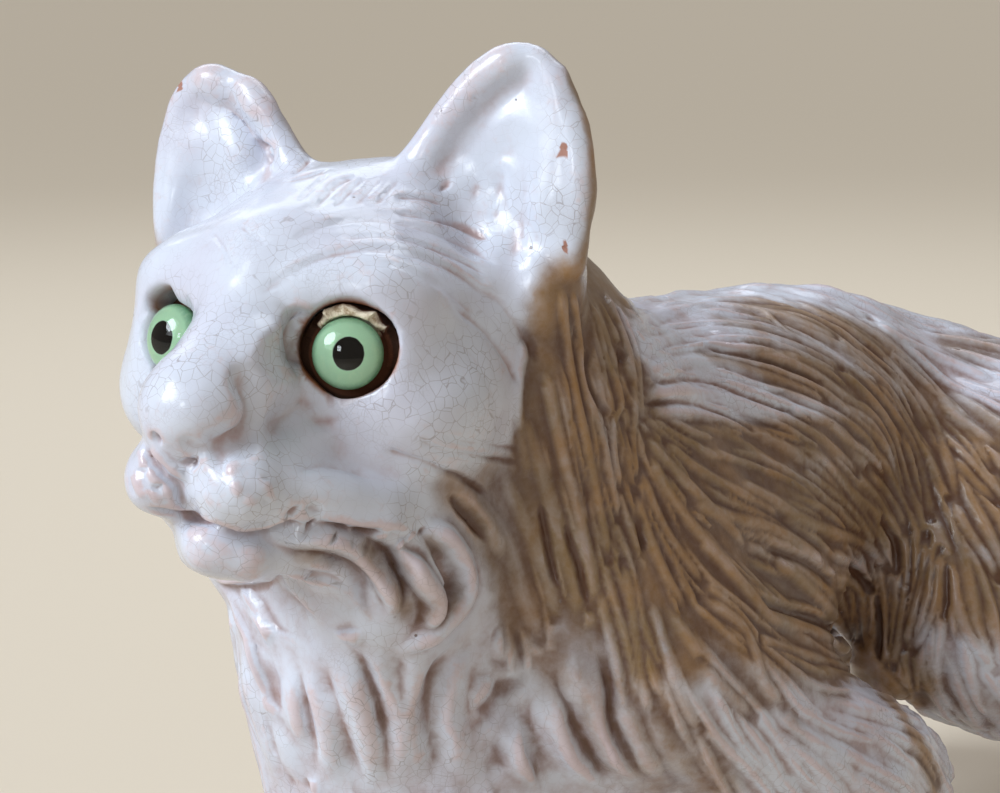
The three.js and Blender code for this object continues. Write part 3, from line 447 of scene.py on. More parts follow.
class Grid:
    """Finds the points that lie near a path."""

    def __init__(self, points, cell):
        self.points = points
        self.cell = cell
        self.low = points.min(0) - cell
        self.size = np.ceil((points.max(0) - self.low) / cell).astype(np.int64) + 2
        keys = self.key(np.floor((points - self.low) / cell).astype(np.int64))
        self.order = np.argsort(keys, kind="stable")
        self.keys = keys[self.order]

    def key(self, cells):
        return cells[..., 0] + self.size[0] * (cells[..., 1] + self.size[1] * cells[..., 2])

    def near(self, path, reach):
        n = int(math.ceil(reach / self.cell))
        steps = np.arange(-n, n + 1)
        around = np.stack(np.meshgrid(steps, steps, steps, indexing="ij"), -1).reshape(-1, 3)
        cells = np.floor((path - self.low) / self.cell).astype(np.int64)
        cells = (cells[:, None] + around[None]).reshape(-1, 3)
        inside = ((cells >= 0) & (cells < self.size)).all(1)
        keys = np.unique(self.key(cells[inside]))
        starts = np.searchsorted(self.keys, keys, "left")
        ends = np.searchsorted(self.keys, keys, "right")
        spans = [self.order[a:b] for a, b in zip(starts, ends) if b > a]
        return np.concatenate(spans) if spans else np.empty(0, np.int64)


def nearest_on(path, points):
    """For each point: its way from a path, how long it is, the path's direction there, and how far along."""
    start = path[:-1]
    step = path[1:] - start
    offset = points[:, None] - start
    t = np.clip((offset * step).sum(-1) / np.maximum((step * step).sum(-1), 1e-9), 0, 1)
    offset -= t[..., None] * step
    gap = np.linalg.norm(offset, axis=-1)
    best = gap.argmin(1)
    rows = np.arange(len(points))
    return offset[rows, best], gap[rows, best], unit(step[best]), (best + t[rows, best]) / len(start)


def lengthwise(path, spacing):
    """A path with its points set evenly along a smooth curve through them."""
    path = np.asarray(path, float)
    chord = np.concatenate([[0], np.cumsum(np.linalg.norm(np.diff(path, axis=0), axis=1))])
    count = max(int(math.ceil(chord[-1] / spacing)), 2)
    at = np.linspace(0, chord[-1], count + 1)
    if len(path) < 3:
        return np.stack([np.interp(at, chord, column) for column in path.T], 1)
    slope = np.gradient(path, chord, axis=0)
    k = np.clip(np.searchsorted(chord, at, "right") - 1, 0, len(path) - 2)
    span = (chord[k + 1] - chord[k])[:, None]
    t = ((at - chord[k])[:, None]) / span
    first = (1 + 2 * t) * (1 - t) ** 2 * path[k] + t * (1 - t) ** 2 * span * slope[k]
    last = t * t * (3 - 2 * t) * path[k + 1] + t * t * (t - 1) * span * slope[k + 1]
    return first + last


class Sight:
    """Carries marks from the picture to the surface, along the lines of sight."""

    def __init__(self, tree):
        self.tree = tree
        turn = Matrix.Rotation(math.radians(VIEW_AZIMUTH), 3, "Z")
        pitch = Matrix.Rotation(math.radians(-VIEW_PITCH), 3, "X")
        self.right = turn @ Vector((1, 0, 0))
        self.forward = turn @ pitch @ Vector((0, 1, 0))
        self.up = self.right.cross(self.forward)

    def lay(self, path):
        """The places where a path over the picture falls on the surface."""
        found = []
        for x, y in lengthwise(path, 3.0).tolist():
            across = (x - PICTURE[0] / 2) / VIEW_FOCAL
            down = (y - PICTURE[1] / 2) / VIEW_FOCAL
            way = self.forward + across * self.right - down * self.up
            hit = self.tree.ray_cast(VIEW_PLACE, way)[0]
            if hit is not None:
                found.append(tuple(hit))
        return np.array(found)

    def settle(self, points):
        return np.array([self.tree.find_nearest(p)[0] for p in points.tolist()])


def mirrored(points):
    """Points on the left side of the face, moved to the right side."""
    head = moved(points, HEAD.inverted())
    head[:, 0] *= -1
    return moved(head, HEAD)


SHAPES = {
    "swell": lambda t: (1 - t * t) ** 2,
    "ledge": lambda t: (1 - t * t) ** 2,
    "ridge": lambda t: (1 - t * t) ** 1.1,
    "strand": lambda t: (1 - t) ** 1.2 * (1 + 0.6 * t),
    "cut": lambda t: (1 - t) ** 1.25,
    "furrow": lambda t: (1 - t * t) ** 2,
    "fold": lambda t: (1 - t * t) ** 1.6,
}
LEDGE_FOOT = 0.6
LEDGE_STEEP = 0.7

# A mark tapers at each end over so many half-widths, but no more than a part of its length, and there it is
# half as wide. What it claims, it claims wholly within a part of its reach.
TAPER = 2.5
TAPER_MOST = 0.45
CLAIM_WHOLE = 0.4


class Relief:
    """Heights over the surface, built up mark by mark."""

    def __init__(self, points, normals):
        self.grid = Grid(points, 5.0)
        self.normals = normals
        self.swells = np.zeros(len(points))
        self.ridges = np.zeros(len(points))
        self.cuts = np.zeros(len(points))
        self.taken = np.zeros(len(points))
        self.tones = np.zeros(len(points))

    def mark(self, path, kind, wide, rise, claims=0.0, hand=1):
        """Adds one mark. Where it claims the surface, the hair that is added later keeps off it."""
        if len(path) < 2:
            return
        reach = max(wide, claims)
        near = self.grid.near(path, reach)
        offset, gap, way, along = nearest_on(path, self.grid.points[near])
        length = np.linalg.norm(np.diff(path, axis=0), axis=1).sum()
        thin = min(TAPER * wide, TAPER_MOST * length) / length if kind != "swell" else 0
        ends = ease(along, 0, thin) * ease(1 - along, 0, thin) if thin else 1.0
        t = np.clip(gap / np.maximum(wide * (0.5 + 0.5 * ends), 1e-6), 0, 1)
        shape = SHAPES[kind](t) * rise * ends
        if kind == "swell":
            self.swells[near] += shape
        elif kind == "ledge":
            side = hand * gap * np.sign((np.cross(way, offset) * self.normals[near]).sum(1))
            high = 0.5 + 0.5 * np.tanh(side / LEDGE_STEEP)
            self.swells[near] += shape * high - LEDGE_FOOT * rise * ends * (1 - t) ** 2 * (1 - high)
        elif kind in ("ridge", "fold"):
            self.ridges[near] = np.maximum(self.ridges[near], shape)
        else:
            self.cuts[near] = np.maximum(self.cuts[near], shape)
        if claims:
            self.taken[near] = np.maximum(self.taken[near], 1 - ease(gap, CLAIM_WHOLE * claims, claims))

    def height(self):
        return self.swells + self.ridges - self.cuts


# Which way the hair is combed, as the solid has it: a place on the left side, then a direction, then the
# half-width and the rise of a strand there. The right side mirrors it.
COMB = [
    (0, -95, 160, 0, 0, -1, 3.6, 2.0),
    (45, -60, 150, 0.1, 0.2, -1, 3.6, 2.0),
    (50, -15, 205, 0.1, 0.15, -1, 1.7, 1.0),
    (30, 15, 245, 0.3, 0.5, -1, 1.7, 1.0),
    (0, 35, 230, 0.1, 1, -0.4, 1.7, 1.0),
    (58, 30, 175, 0.1, 0.7, -0.8, 1.7, 1.0),
    (50, 80, 195, 0.25, 1, -0.35, 2.8, 1.5),
    (0, 110, 222, 0.25, 1, -0.05, 3.0, 1.0),
    (56, 90, 150, 0, 0.9, -0.55, 3.0, 1.6),
    (45, 130, 180, 0.1, 0.8, -0.7, 2.8, 1.6),
    (45, 138, 140, 0, 0.3, -1, 2.5, 1.6),
    (64, 60, 110, 0, 0.8, -0.7, 2.8, 1.2),
    (30, 180, 205, 0.4, 1, -0.2, 3.4, 1.5),
    (60, 190, 165, 0.1, 0.8, -0.7, 3.4, 1.6),
    (62, 220, 120, 0, 0.7, -0.8, 3.4, 1.6),
    (58, 160, 110, 0, 0.5, -0.8, 3.4, 1.2),
    (0, 250, 185, 0, 1, -0.1, 3.6, 1.8),
    (30, 265, 140, 0, 0.6, -1, 3.6, 1.8),
    (8, 330, 140, 0.05, 0.8, -1, 3.6, 2.0),
    (20, 368, 90, 0.2, 0.35, -1, 3.8, 2.2),
    (45, 390, 45, 0.6, 0.1, -0.8, 3.6, 2.0),
    (80, 384, 25, 1, -0.3, -0.2, 3.0, 1.6),
    (0, 60, 85, 0, 1, -0.1, 3.4, 1.4),
]
COMB_REACH = 40.0
TAIL_START = 300.0

# How far a listed mark draws the hair to it, in millimetres, and how strongly.
HAND_REACH = 14.0
HAND_PULL = 1.6


class Comb:
    """The lie of the hair all over the coat, drawn to the listed marks."""

    def __init__(self):
        rows = np.array(COMB)
        self.places = rows[:, :3]
        self.ways = unit(rows[:, 3:6])
        self.sizes = rows[:, 6:]
        self.hand_places = np.empty((0, 3))
        self.hand_ways = np.empty((0, 3))

    def weights(self, points):
        gap = ((points[:, None] - self.places) ** 2).sum(-1)
        weights = np.exp(-gap / COMB_REACH**2) + 1e-9
        return weights / weights.sum(1, keepdims=True)

    def folded(self, points):
        """Points with the right side of the body laid over the left, and the signs that do it."""
        signs = np.ones_like(points)
        signs[:, 0] = np.where((points[:, 0] < 0) & (points[:, 1] < TAIL_START), -1, 1)
        return points * signs, signs

    def at(self, points):
        """The direction of the hair."""
        folded, signs = self.folded(points)
        ways = (self.weights(folded) @ self.ways) * signs
        if len(self.hand_places):
            gap = ((points[:, None] - self.hand_places) ** 2).sum(-1)
            pull = np.exp(-gap / HAND_REACH**2)
            ways = unit(ways) + HAND_PULL * (pull @ self.hand_ways)
        return unit(ways)

    def size(self, points):
        return self.weights(self.folded(points)[0]) @ self.sizes

    def follow(self, path):
        """Draws the hair along a listed mark, turned so that it agrees with the comb."""
        if len(path) < 2:
            return
        path = lengthwise(path, 8.0)
        middles = (path[1:] + path[:-1]) / 2
        ways = unit(np.diff(path, axis=0))
        folded, signs = self.folded(middles)
        combed = (self.weights(folded) @ self.ways) * signs
        ways *= np.sign((ways * combed).sum(1, keepdims=True))
        self.hand_places = np.concatenate([self.hand_places, middles])
        self.hand_ways = np.concatenate([self.hand_ways, ways])


# Where hair is short, each fading over a pair of measures in millimetres: the face and the crown in the
# head's frame, with how far they reach from its middle, and the lower legs by their height.
FACE_SHORT = {"back": (-14, -4), "low": (-66, -56), "far": (-99, -91)}
CROWN_SHORT = {"low": (14, 24), "far": (-114, -106)}
LEG_SHORT = (-68, -54)


def long_hair(points):
    """1 where the hair is long, and 0 on the face, the ears, the lower legs and the paws."""
    head = moved(points, HEAD.inverted())
    far = np.linalg.norm(head, axis=1)
    face = ease(-head[:, 1], *FACE_SHORT["back"]) * ease(head[:, 2], *FACE_SHORT["low"])
    face *= ease(-far, *FACE_SHORT["far"])
    crown = ease(head[:, 2], *CROWN_SHORT["low"]) * ease(-far, *CROWN_SHORT["far"])
    leg = ease(-points[:, 2], *LEG_SHORT) * (points[:, 1] < TAIL_START)
    return (1 - face) * (1 - crown) * (1 - leg)


def grow(comb, sight, roots, lengths, rng, coat):
    """The way that each strand takes over the coat from its root."""
    places = roots.copy()
    phase = rng.uniform(0, 2 * math.pi, len(roots))
    ways = [places.copy()]
    for i in range(int(lengths.max() / coat.step)):
        normals = np.array([sight.tree.find_nearest(p)[1] for p in places.tolist()])
        along = comb.at(places)
        along = unit(along - normals * (along * normals).sum(1, keepdims=True))
        sway = coat.sway * np.cos(phase + i * coat.step / coat.curl)
        heading = along + np.cross(normals, along) * sway[:, None]
        places = sight.settle(places + coat.step * heading)
        ways.append(places.copy())
    ways = np.stack(ways, 1)
    counts = np.maximum((lengths / coat.step).astype(int), 3)
    return [way[: count + 1] for way, count in zip(ways, counts)]


def scatter(points, ways, halves, rng, along, beside):
    """Roots spread over the coat: far apart along the comb, and close beside one another."""
    order = rng.permutation(len(points))
    kept = np.empty((len(points), 3))
    chosen = []
    for i in order:
        gap = kept[: len(chosen)] - points[i]
        forward = gap @ ways[i]
        rest = (gap * gap).sum(1) - forward**2
        crowd = (forward / (along * halves[i])) ** 2 + rest / (beside * halves[i]) ** 2
        if not len(crowd) or crowd.min() > 1:
            kept[len(chosen)] = points[i]
            chosen.append(i)
    return np.array(chosen)


# Where the glaze is knocked off: a radius in millimetres and a place in the picture. Then how deep a chip
# goes, and where its bare clay begins to fade and ends, in radii.
CHIPS = {
    "ear, left, edge": (1.4, (564, 149)),
    "ear, left, rim": (1.0, (474, 96)),
    "ear, right": (1.2, (180, 86)),
    "ear, left, pinhole": (0.9, (565, 247)),
}
CHIP_DEPTH = 0.7
CHIP_BARE = (0.5, 1.1)

# The brown wash under the glaze, laid on with a brush: a half-width in millimetres, a strength, and its way.
# A stroke fades between the two parts of its half-width, and then it all spreads a little, in millimetres.
WASH_EDGE = (0.35, 1.4)
WASH_SPREAD = 1.8
WASHES = {
    "neck, foot 4": (10, 0.6, [(560, 690), (610, 730), (660, 760), (700, 790)]),
    "back, veil": (16, 0.84, [(770, 314), (820, 324), (866, 346), (906, 380), (940, 412), (1000, 440)]),
    "back, rear": (12, 0.95, [(770, 366), (820, 380), (870, 400), (920, 430)]),
    "haunch, middle": (13, 1.0, [(930, 505), (965, 520), (1000, 530)]),
    "arm, back": (5.5, 0.95, [(846, 664), (872, 684), (898, 714), (920, 752), (934, 790)]),
    "chest, right 3": (9, 0.4, [(550, 660), (576, 720), (600, 780)]),
    "chest, right 2": (9, 0.36, [(500, 640), (510, 700), (520, 780)]),
    "chest, right 1": (9, 0.3, [(430, 680), (440, 740), (450, 790)]),
    "jowl, behind": (7, 0.85, [(450, 486), (476, 520), (498, 556), (512, 600), (524, 640)]),
    "jowl, groove 3": (2.6, 0.95, [(429, 538), (446, 562), (458, 586), (452, 602), (440, 614)]),
    "jowl, groove 2": (2.4, 0.85, [(300, 556), (319, 556), (338, 563), (353, 582), (361, 601), (364, 616)]),
    "jowl, groove 1": (2.8, 0.95, [(353, 541), (371, 550), (388, 562), (400, 580), (404, 598), (404, 612)]),
    "groin": (8, 1.0, [(838, 640), (862, 660), (884, 682)]),
    "shoulder 4": (8, 0.7, [(770, 650), (800, 670), (836, 684)]),
    "shoulder 3": (8, 0.74, [(690, 600), (724, 650), (764, 690)]),
    "neck, foot 3": (7, 0.66, [(552, 600), (572, 650), (592, 710), (606, 760)]),
    "neck, foot 2": (8, 0.72, [(590, 610), (612, 660), (634, 720), (650, 790)]),
    "neck, foot": (9, 0.75, [(632, 640), (660, 690), (690, 740), (720, 790)]),
    # Partly brown wash and partly painted shade on the shaded underside of the thigh.
    "thigh, wash and shade": (14, 0.55, [(900, 650), (940, 680), (1000, 720)]),
    "jowl": (9, 0.6, [(320, 552), (360, 560), (404, 580), (430, 606)]),
    "cheek, low": (9, 0.72, [(486, 478), (504, 520), (520, 570), (536, 620), (556, 670)]),
    "cheek": (6, 1.0, [(570, 296), (556, 336), (540, 380), (530, 420), (524, 460), (526, 500), (536, 560),
        (548, 610)]),
    "neck, front": (9, 1.0, [(556, 300), (550, 350), (546, 420), (550, 470), (562, 520), (578, 570),
        (594, 610)]),
    "neck, middle": (9, 1.0, [(568, 280), (576, 340), (584, 420), (596, 500), (610, 560), (626, 610),
        (640, 660)]),
    "neck, back": (9, 1.0, [(592, 290), (607, 340), (620, 410), (632, 480), (650, 550), (670, 610),
        (694, 660)]),
    "neck, low": (12, 0.55, [(560, 560), (590, 620), (620, 680), (650, 730), (690, 780)]),
    "flank, top": (10, 1.0, [(650, 442), (700, 446), (760, 446), (820, 440), (880, 440)]),
    "flank, middle": (21, 1.0, [(668, 486), (740, 500), (810, 510), (880, 506), (940, 500), (1000, 490)]),
    "flank, low": (19, 1.0, [(690, 560), (750, 590), (820, 610), (880, 610)]),
    "flank, edge": (10, 0.95, [(690, 590), (740, 636), (790, 656), (850, 664), (880, 672)]),
    "back, streak 1": (5, 0.75, [(706, 356), (740, 362), (780, 374), (820, 392)]),
    "back, streak 2": (5, 0.7, [(722, 322), (752, 328), (790, 342), (830, 362)]),
    "back, streak 3": (6, 0.8, [(760, 300), (800, 318), (840, 344), (880, 384), (910, 420)]),
    "back, streak 4": (6, 0.6, [(846, 320), (880, 340), (920, 372), (960, 400)]),
    "haunch": (15, 1.0, [(900, 430), (950, 446), (1000, 462)]),
    "haunch, low": (17, 1.0, [(930, 560), (960, 590), (1000, 600)]),
    "tail, root": (6, 0.7, [(950, 340), (1000, 352)]),
    "shoulder 1": (4, 0.7, [(700, 624), (719, 682), (748, 712)]),
    "shoulder 2": (3.5, 0.6, [(757, 653), (782, 703), (803, 741)]),
    "chest, middle": (9, 0.35, [(372, 650), (380, 700), (386, 760)]),
}

# Above this height over the middle of the head, an ear has its own wash, behind it and on its outer edge. It
# lies where the skin faces back or outward, and none lies on the skin that faces forward.
EAR_FOOT = (30, 44)
EAR_OUTER = Vector((0.87, 0.5, 0))
EAR_OUTWARD = (0.25, 0.6)
EAR_FORWARD = (-0.86, -0.7)
EAR_BACKWARD = (0.05, 0.4)
EAR_STRENGTH = 0.95
EAR_WASHES = {
    "left": (8, 1.0, [(561, 66), (572, 100), (578, 130), (582, 165), (582, 200), (578, 240), (572, 276)]),
    "right": (5, 0.9, [(257, 104), (279, 132), (298, 154)]),
}

# The right side mirrors the left: by the body's plane below the first height, and by the head's own above the
# second, in millimetres.
MIRROR_HEIGHT = (160, 190)

# The same wash where the picture does not show it: strokes in the modeller's frame, and each is mirrored.
WASHES_BEHIND = {
    "crown, back": (13, 0.95, [(0, -22, 266), (0, -4, 252), (0, 12, 238)]),
    "haunch, side": (22, 0.92, [(64, 150, 150), (67, 180, 150), (68, 208, 140)]),
    "groin": (13, 0.95, [(50, 118, 106), (50, 138, 104)]),
    "nape": (16, 0.95, [(14, -22, 262), (20, -4, 248), (28, 6, 234)]),
    "neck, side": (13, 0.9, [(40, -14, 232), (46, -2, 205), (52, 6, 180)]),
    "rump": (22, 0.9, [(62, 196, 158), (66, 222, 132), (60, 244, 104)]),
    "rump, top": (12, 0.7, [(34, 190, 196), (36, 225, 184), (28, 254, 168)]),
    "tail": (12, 0.85, [(0, 296, 158), (4, 330, 142), (14, 360, 106), (30, 382, 66)]),
    "tail, tip": (9, 0.7, [(50, 392, 44), (84, 384, 26)]),
}

# Lumps that fill the eye sockets before they are cut again: places and radii in the head's frame.
SOCKET_FILL = [
    ((24, -23, -4), (16, 15.5, 16)),
    ((20, -24, 11), (22, 16, 14)),
    ((31, -10, -14), (20, 24, 19)),
]

# One inside the skull, and one behind the left ear.
SKULL_FILL = ((0, 6, 2), (45, 45, 43))
EAR_FILL = ((52, 14, 18), (10, 14, 16))

# One that fills the left groin, in the modeller's frame.
GROIN_FILL = ((47, 128, 102), (11, 12, 11))

# The ball of the nose and the pads of the muzzle, as the picture has them: places and radii in the head's
# frame.
MUZZLE = [
    ((0, -60, -18), (13, 12.5, 10.5)),
    ((10.5, -56, -35.5), (11, 10, 9)),
    ((-9.5, -56.5, -35.5), (9.5, 9.5, 9)),
    ((1, -49.5, -47), (10, 8, 6)),
    ((9, -44, -51.5), (9, 9, 7)),
    ((-5, -43, -51.5), (7, 8, 6.5)),
    ((19, -36, -50.5), (11, 8, 6.5)),
]


# What closes each socket before it is cut again: a disc, with its radius, its depth and its middle's place.
PLUG_RADIUS = 12.9
PLUG_DEPTH = 12.5
PLUG_MIDDLE = -6.5


def add_lump(bm, matrix, radii):
    shape = matrix @ Matrix.Diagonal((*radii, 1))
    bmesh.ops.create_uvsphere(bm, u_segments=48, v_segments=24, radius=1.0, matrix=shape)


def raw_body():
    """The body as the solid has it, in the modeller's frame, with its sockets filled."""
    bm = bmesh.new()
    bm.from_mesh(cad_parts["cat_body"].data)
    bmesh.ops.remove_doubles(bm, verts=bm.verts, dist=MERGE)
    bmesh.ops.transform(bm, matrix=PART.inverted(), verts=bm.verts)
    for place, radii in (SKULL_FILL, EAR_FILL, *MUZZLE):
        add_lump(bm, HEAD @ Matrix.Translation(place), radii)
    place, radii = GROIN_FILL
    add_lump(bm, Matrix.Translation(place), radii)
    for word, side in SIDES.items():
        for (x, y, z), radii in SOCKET_FILL:
            add_lump(bm, HEAD @ Matrix.Translation((x * side, y, z)), radii)
        plug = eye_frame(word) @ Matrix.Translation((0, PLUG_MIDDLE, 0))
        plug = plug @ Matrix.Rotation(math.pi / 2, 4, "X")
        sizes = {"radius1": PLUG_RADIUS, "radius2": PLUG_RADIUS, "depth": PLUG_DEPTH}
        bmesh.ops.create_cone(bm, cap_ends=True, segments=48, matrix=plug, **sizes)
    return bm


def mesh_of(bm, name):
    mesh = bpy.data.meshes.new(name)
    bm.to_mesh(mesh)
    bm.free()
    return mesh


def linked(name, mesh):
    piece = bpy.data.objects.new(name, mesh)
    bpy.context.scene.collection.objects.link(piece)
    return piece


def applied(piece, kind, **settings):
    """Puts one modifier on a piece and makes its result the piece's mesh."""
    modifier = piece.modifiers.new(kind.title(), kind)
    for key, value in settings.items():
        setattr(modifier, key, value)
    graph = bpy.context.evaluated_depsgraph_get()
    old = piece.data
    piece.data = bpy.data.meshes.new_from_object(piece.evaluated_get(graph))
    piece.data.name = old.name
    piece.modifiers.clear()
    bpy.data.meshes.remove(old)
    return piece


# How far from the middle of the head the finely modelled skin reaches, in millimetres.
FINE_FACE = 88.0
FINE_BACK = 18.0
FINE_EARS = 118.0
FINE_CROWN = 28.0

# Where the folds of the jowl lie, in the head's frame. The solid's own folds are smoothed away there first.
JOWL = [(24, -32, -52), (40, -24, -50), (48, -4, -52)]
JOWL_SOFT = (12, 24)

# The ears are smoothed further above these heights, and within these distances of the middle of the head.
EAR_SOFT = {"low": (34, 46), "far": (-120, -105)}


def softened(skin, coat):
    """The solid's flat faces rounded off: a little on the face and paws, and more under the long hair."""
    face = skin.spread(skin.places, coat.soft_face)
    ears = skin.spread(face, coat.soft_ears)
    broad = skin.spread(ears, coat.soft_coat)
    hairy = skin.spread(long_hair(skin.places), coat.soft_face)[:, None]
    head = moved(skin.places, HEAD.inverted())
    far = np.linalg.norm(head, axis=1)
    ear = (ease(head[:, 2], *EAR_SOFT["low"]) * ease(-far, *EAR_SOFT["far"]))[:, None]
    head[:, 0] = abs(head[:, 0])
    jowl = (1 - ease(nearest_on(np.array(JOWL), head)[1], *JOWL_SOFT))[:, None]
    result = face * (1 - ear) + ears * ear
    hairy = np.maximum(hairy, jowl)
    return result * (1 - hairy) + broad * hairy


def refine(mesh, places):
    """Quarters the faces of the face and the ears, so that small marks hold on them."""
    head = moved(places, HEAD.inverted())
    far = np.linalg.norm(head, axis=1)
    face = (far < FINE_FACE) & (head[:, 1] < FINE_BACK)
    ears = (far < FINE_EARS) & (head[:, 2] > FINE_CROWN)
    fine = face | ears
    bm = bmesh.new()
    bm.from_mesh(mesh)
    edges = [e for e in bm.edges if fine[e.verts[0].index] and fine[e.verts[1].index]]
    bmesh.ops.subdivide_edges(bm, edges=edges, cuts=1, use_grid_fill=True)
    bm.to_mesh(mesh)
    bm.free()


def hand_marks(relief, comb, sight):
    """Everything that the modeller drew with a tool, where the picture shows it."""

    def draw(marks, kind, both, claims, combs):
        for wide, rise, path in marks.values():
            laid = sight.lay(path)
            if len(laid) < 2:
                continue
            relief.mark(laid, kind, wide, rise, claims * wide)
            if both:
                relief.mark(sight.settle(mirrored(laid)), kind, wide, rise, claims * wide, -1)
            if combs:
                comb.follow(laid)

    draw(FACE_SWELLS, "swell", False, 0, False)
    draw(FACE_LEDGES, "ledge", False, 0, False)
    draw(FACE_CUTS, "cut", False, 1.2, False)
    for radius, (x, y) in CHIPS.values():
        relief.mark(sight.lay([(x, y - 2), (x, y + 2)]), "cut", radius, CHIP_DEPTH)
    draw(FACE_RIDGES, "ridge", False, 1.2, False)
    draw(JOWL_CUTS, "furrow", True, 1.1, False)
    draw(NECK_RIDGES, "ridge", False, 1.1, True)
    draw(NECK_CUTS, "cut", False, 1.2, True)
    draw(CHEST_LEDGES, "ledge", False, 0, True)
    draw(CHEST_RIDGES, "fold", False, 1.2, True)
    draw(CHEST_CUTS, "furrow", False, 1.0, True)
    draw(FLANK_RIDGES, "ridge", False, 1.0, True)
    draw(FLANK_CUTS, "cut", False, 1.0, True)


# Strands: the least long hair that one may root in, how their widths and rises vary, and their outline. Near
# the root and near the tip the first part of the width stays and the second grows in, over a part of the
# length.
ROOT_HAIR = 0.3
WIDTHS = (0.8, 1.25)
RISES = (0.75, 1.2)
STRAND_ROOT = (0.55, 0.45, 0.25)
STRAND_TIP = (0.35, 0.65, 0.4)
STRAND_SINK = 0.15


def combed_hair(relief, comb, sight, base, coat):
    """Strands all over the long-haired skin, kept off the listed marks."""
    rng = np.random.default_rng(coat.seed)
    hairy = long_hair(base)
    open_skin = np.flatnonzero(hairy > ROOT_HAIR)
    tries = rng.choice(open_skin, min(coat.tries, len(open_skin)), replace=False)
    points = base[tries]
    ways = comb.at(points)
    sizes = comb.size(points)
    chosen = scatter(points, ways, sizes[:, 0], rng, coat.apart, coat.beside)
    roots = points[chosen]
    wide = sizes[chosen, 0] * rng.uniform(*WIDTHS, len(chosen))
    rise = sizes[chosen, 1] * rng.uniform(*RISES, len(chosen))
    lengths = wide * rng.uniform(*coat.lengths, len(chosen))
    strands = np.zeros(len(base))
    tones = rng.uniform(-1, 1, len(chosen))
    root_least, root_more, root_part = STRAND_ROOT
    tip_least, tip_more, tip_part = STRAND_TIP
    for way, w, r, tone in zip(grow(comb, sight, roots, lengths, rng, coat), wide, rise, tones):
        near = relief.grid.near(way, w)
        _, gap, _, along = nearest_on(way, base[near])
        grown = ease(along, 0, root_part)
        width = w * (root_least + root_more * grown) * (tip_least + tip_more * ease(1 - along, 0, tip_part))
        shape = SHAPES["strand"](np.clip(gap / width, 0, 1))
        shape *= r * grown * ease(1 - along, 0, STRAND_SINK)
        over = shape > strands[near]
        strands[near[over]] = shape[over]
        relief.tones[near[over]] = tone
    strands *= hairy * (1 - relief.taken)
    relief.ridges = np.maximum(relief.ridges, strands)


# The hole of each socket: how deep it goes, how far the cut reaches out, and how finely it is cut, all in
# millimetres, then how much it flares on its way out, and how much more toward the corner of the eye.
SOCKET_DEPTH = 12.0
SOCKET_REACH = 24.0
SOCKET_STEP = 0.8
SOCKET_FLARE = 0.025
SOCKET_CORNER = 0.16

# How uneven its wall is: a height in millimetres and how many waves go round.
SOCKET_WAVES = ((0.25, 3), (0.18, 5))

# How far the clay closes in round the far side of each eye, in millimetres, and where it stays open: the
# middle of a gap and its half-width, in degrees round the eye. It closes between the two depths.
SOCKET_CLOSE = {"left": (1.9, ((90, 150),)), "right": (2.9, ((70, 40), (278, 34)))}
SOCKET_CLOSED = (-6, -3.5)

# Where the clay of a socket is bare, in millimetres in the eye's own frame: it fades out between two radii,
# and between two depths near the front, and ends at one at the back. Where the mouth closes in by the first
# measure or more, its lip stays glazed, from the first depth to the second.
BARE_EDGE = (-12.8, -12.3)
BARE_BACK = -14
BARE_FRONT = (-9, -4)
LIP_CLOSE = (2.0, 2.7)
LIP_DEPTH = (-3, 1)

# How much painted shade darkens each socket toward its depth, and between which depths that painted shade
# sets in.
SOCKET_SHADE = {"left": 1.0, "right": 0.5}
SHADE_DEPTH = (-2, 8)


def closed_in(word, angle):
    """How much narrower the mouth of a socket is at an angle in degrees."""
    close, gaps = SOCKET_CLOSE[word]
    for middle, half in gaps:
        away = np.abs((angle - middle + 180) % 360 - 180)
        close = close * ease(away, 0.5 * half, half)
    return close


def socket_cutter(word, eye):
    """A slightly uneven hole that flares toward the inner corner of the eye."""
    bm = bmesh.new()
    rings = []
    inner = SIDES[word]
    (broad, waves), (small, ripples) = SOCKET_WAVES
    count = round(2 * math.pi * eye.socket_radius / SOCKET_STEP)
    for depth in np.arange(-SOCKET_DEPTH, SOCKET_REACH, SOCKET_STEP).tolist():
        ring = []
        for k in range(count):
            a = 2 * math.pi * k / count
            uneven = broad * math.sin(waves * a + 0.6 * inner + 0.2 * depth)
            uneven += small * math.sin(ripples * a + 1.7 - 0.3 * depth)
            corner = max(0.0, math.cos(a) * inner) ** 3 * max(0.0, depth) * SOCKET_CORNER
            r = (eye.socket_radius + uneven) * (1 + SOCKET_FLARE * max(0.0, depth)) + corner
            r -= float(closed_in(word, math.degrees(a)) * ease(np.array(depth), *SOCKET_CLOSED))
            ring.append(bm.verts.new((r * math.cos(a), depth, r * math.sin(a))))
        rings.append(ring)
    for low, high in zip(rings, rings[1:]):
        for k in range(count):
            bm.faces.new((low[k - 1], low[k], high[k], high[k - 1]))
    bm.faces.new(rings[0])
    bm.faces.new(reversed(rings[-1]))
    bmesh.ops.recalc_face_normals(bm, faces=bm.faces)
    bmesh.ops.transform(bm, matrix=eye_frame(word), verts=bm.verts)
    return linked(f"cutter_{word}", mesh_of(bm, f"cutter_{word}"))


def store(mesh, name, values):
    attribute = mesh.attributes.new(name, "FLOAT", "POINT")
    attribute.data.foreach_set("value", np.asarray(values, np.float32))


def brushed(places, strokes):
    """How thickly strokes of wash, each a half-width, a strength and its way, lie on each place."""
    grid = Grid(places, 8.0)
    wash = np.zeros(len(places))
    for wide, strength, way in strokes:
        solid, gone = (part * wide for part in WASH_EDGE)
        near = grid.near(way, gone)
        gap = nearest_on(way, places[near])[1]
        wash[near] = np.maximum(wash[near], strength * (1 - ease(gap, solid, gone)))
    return wash


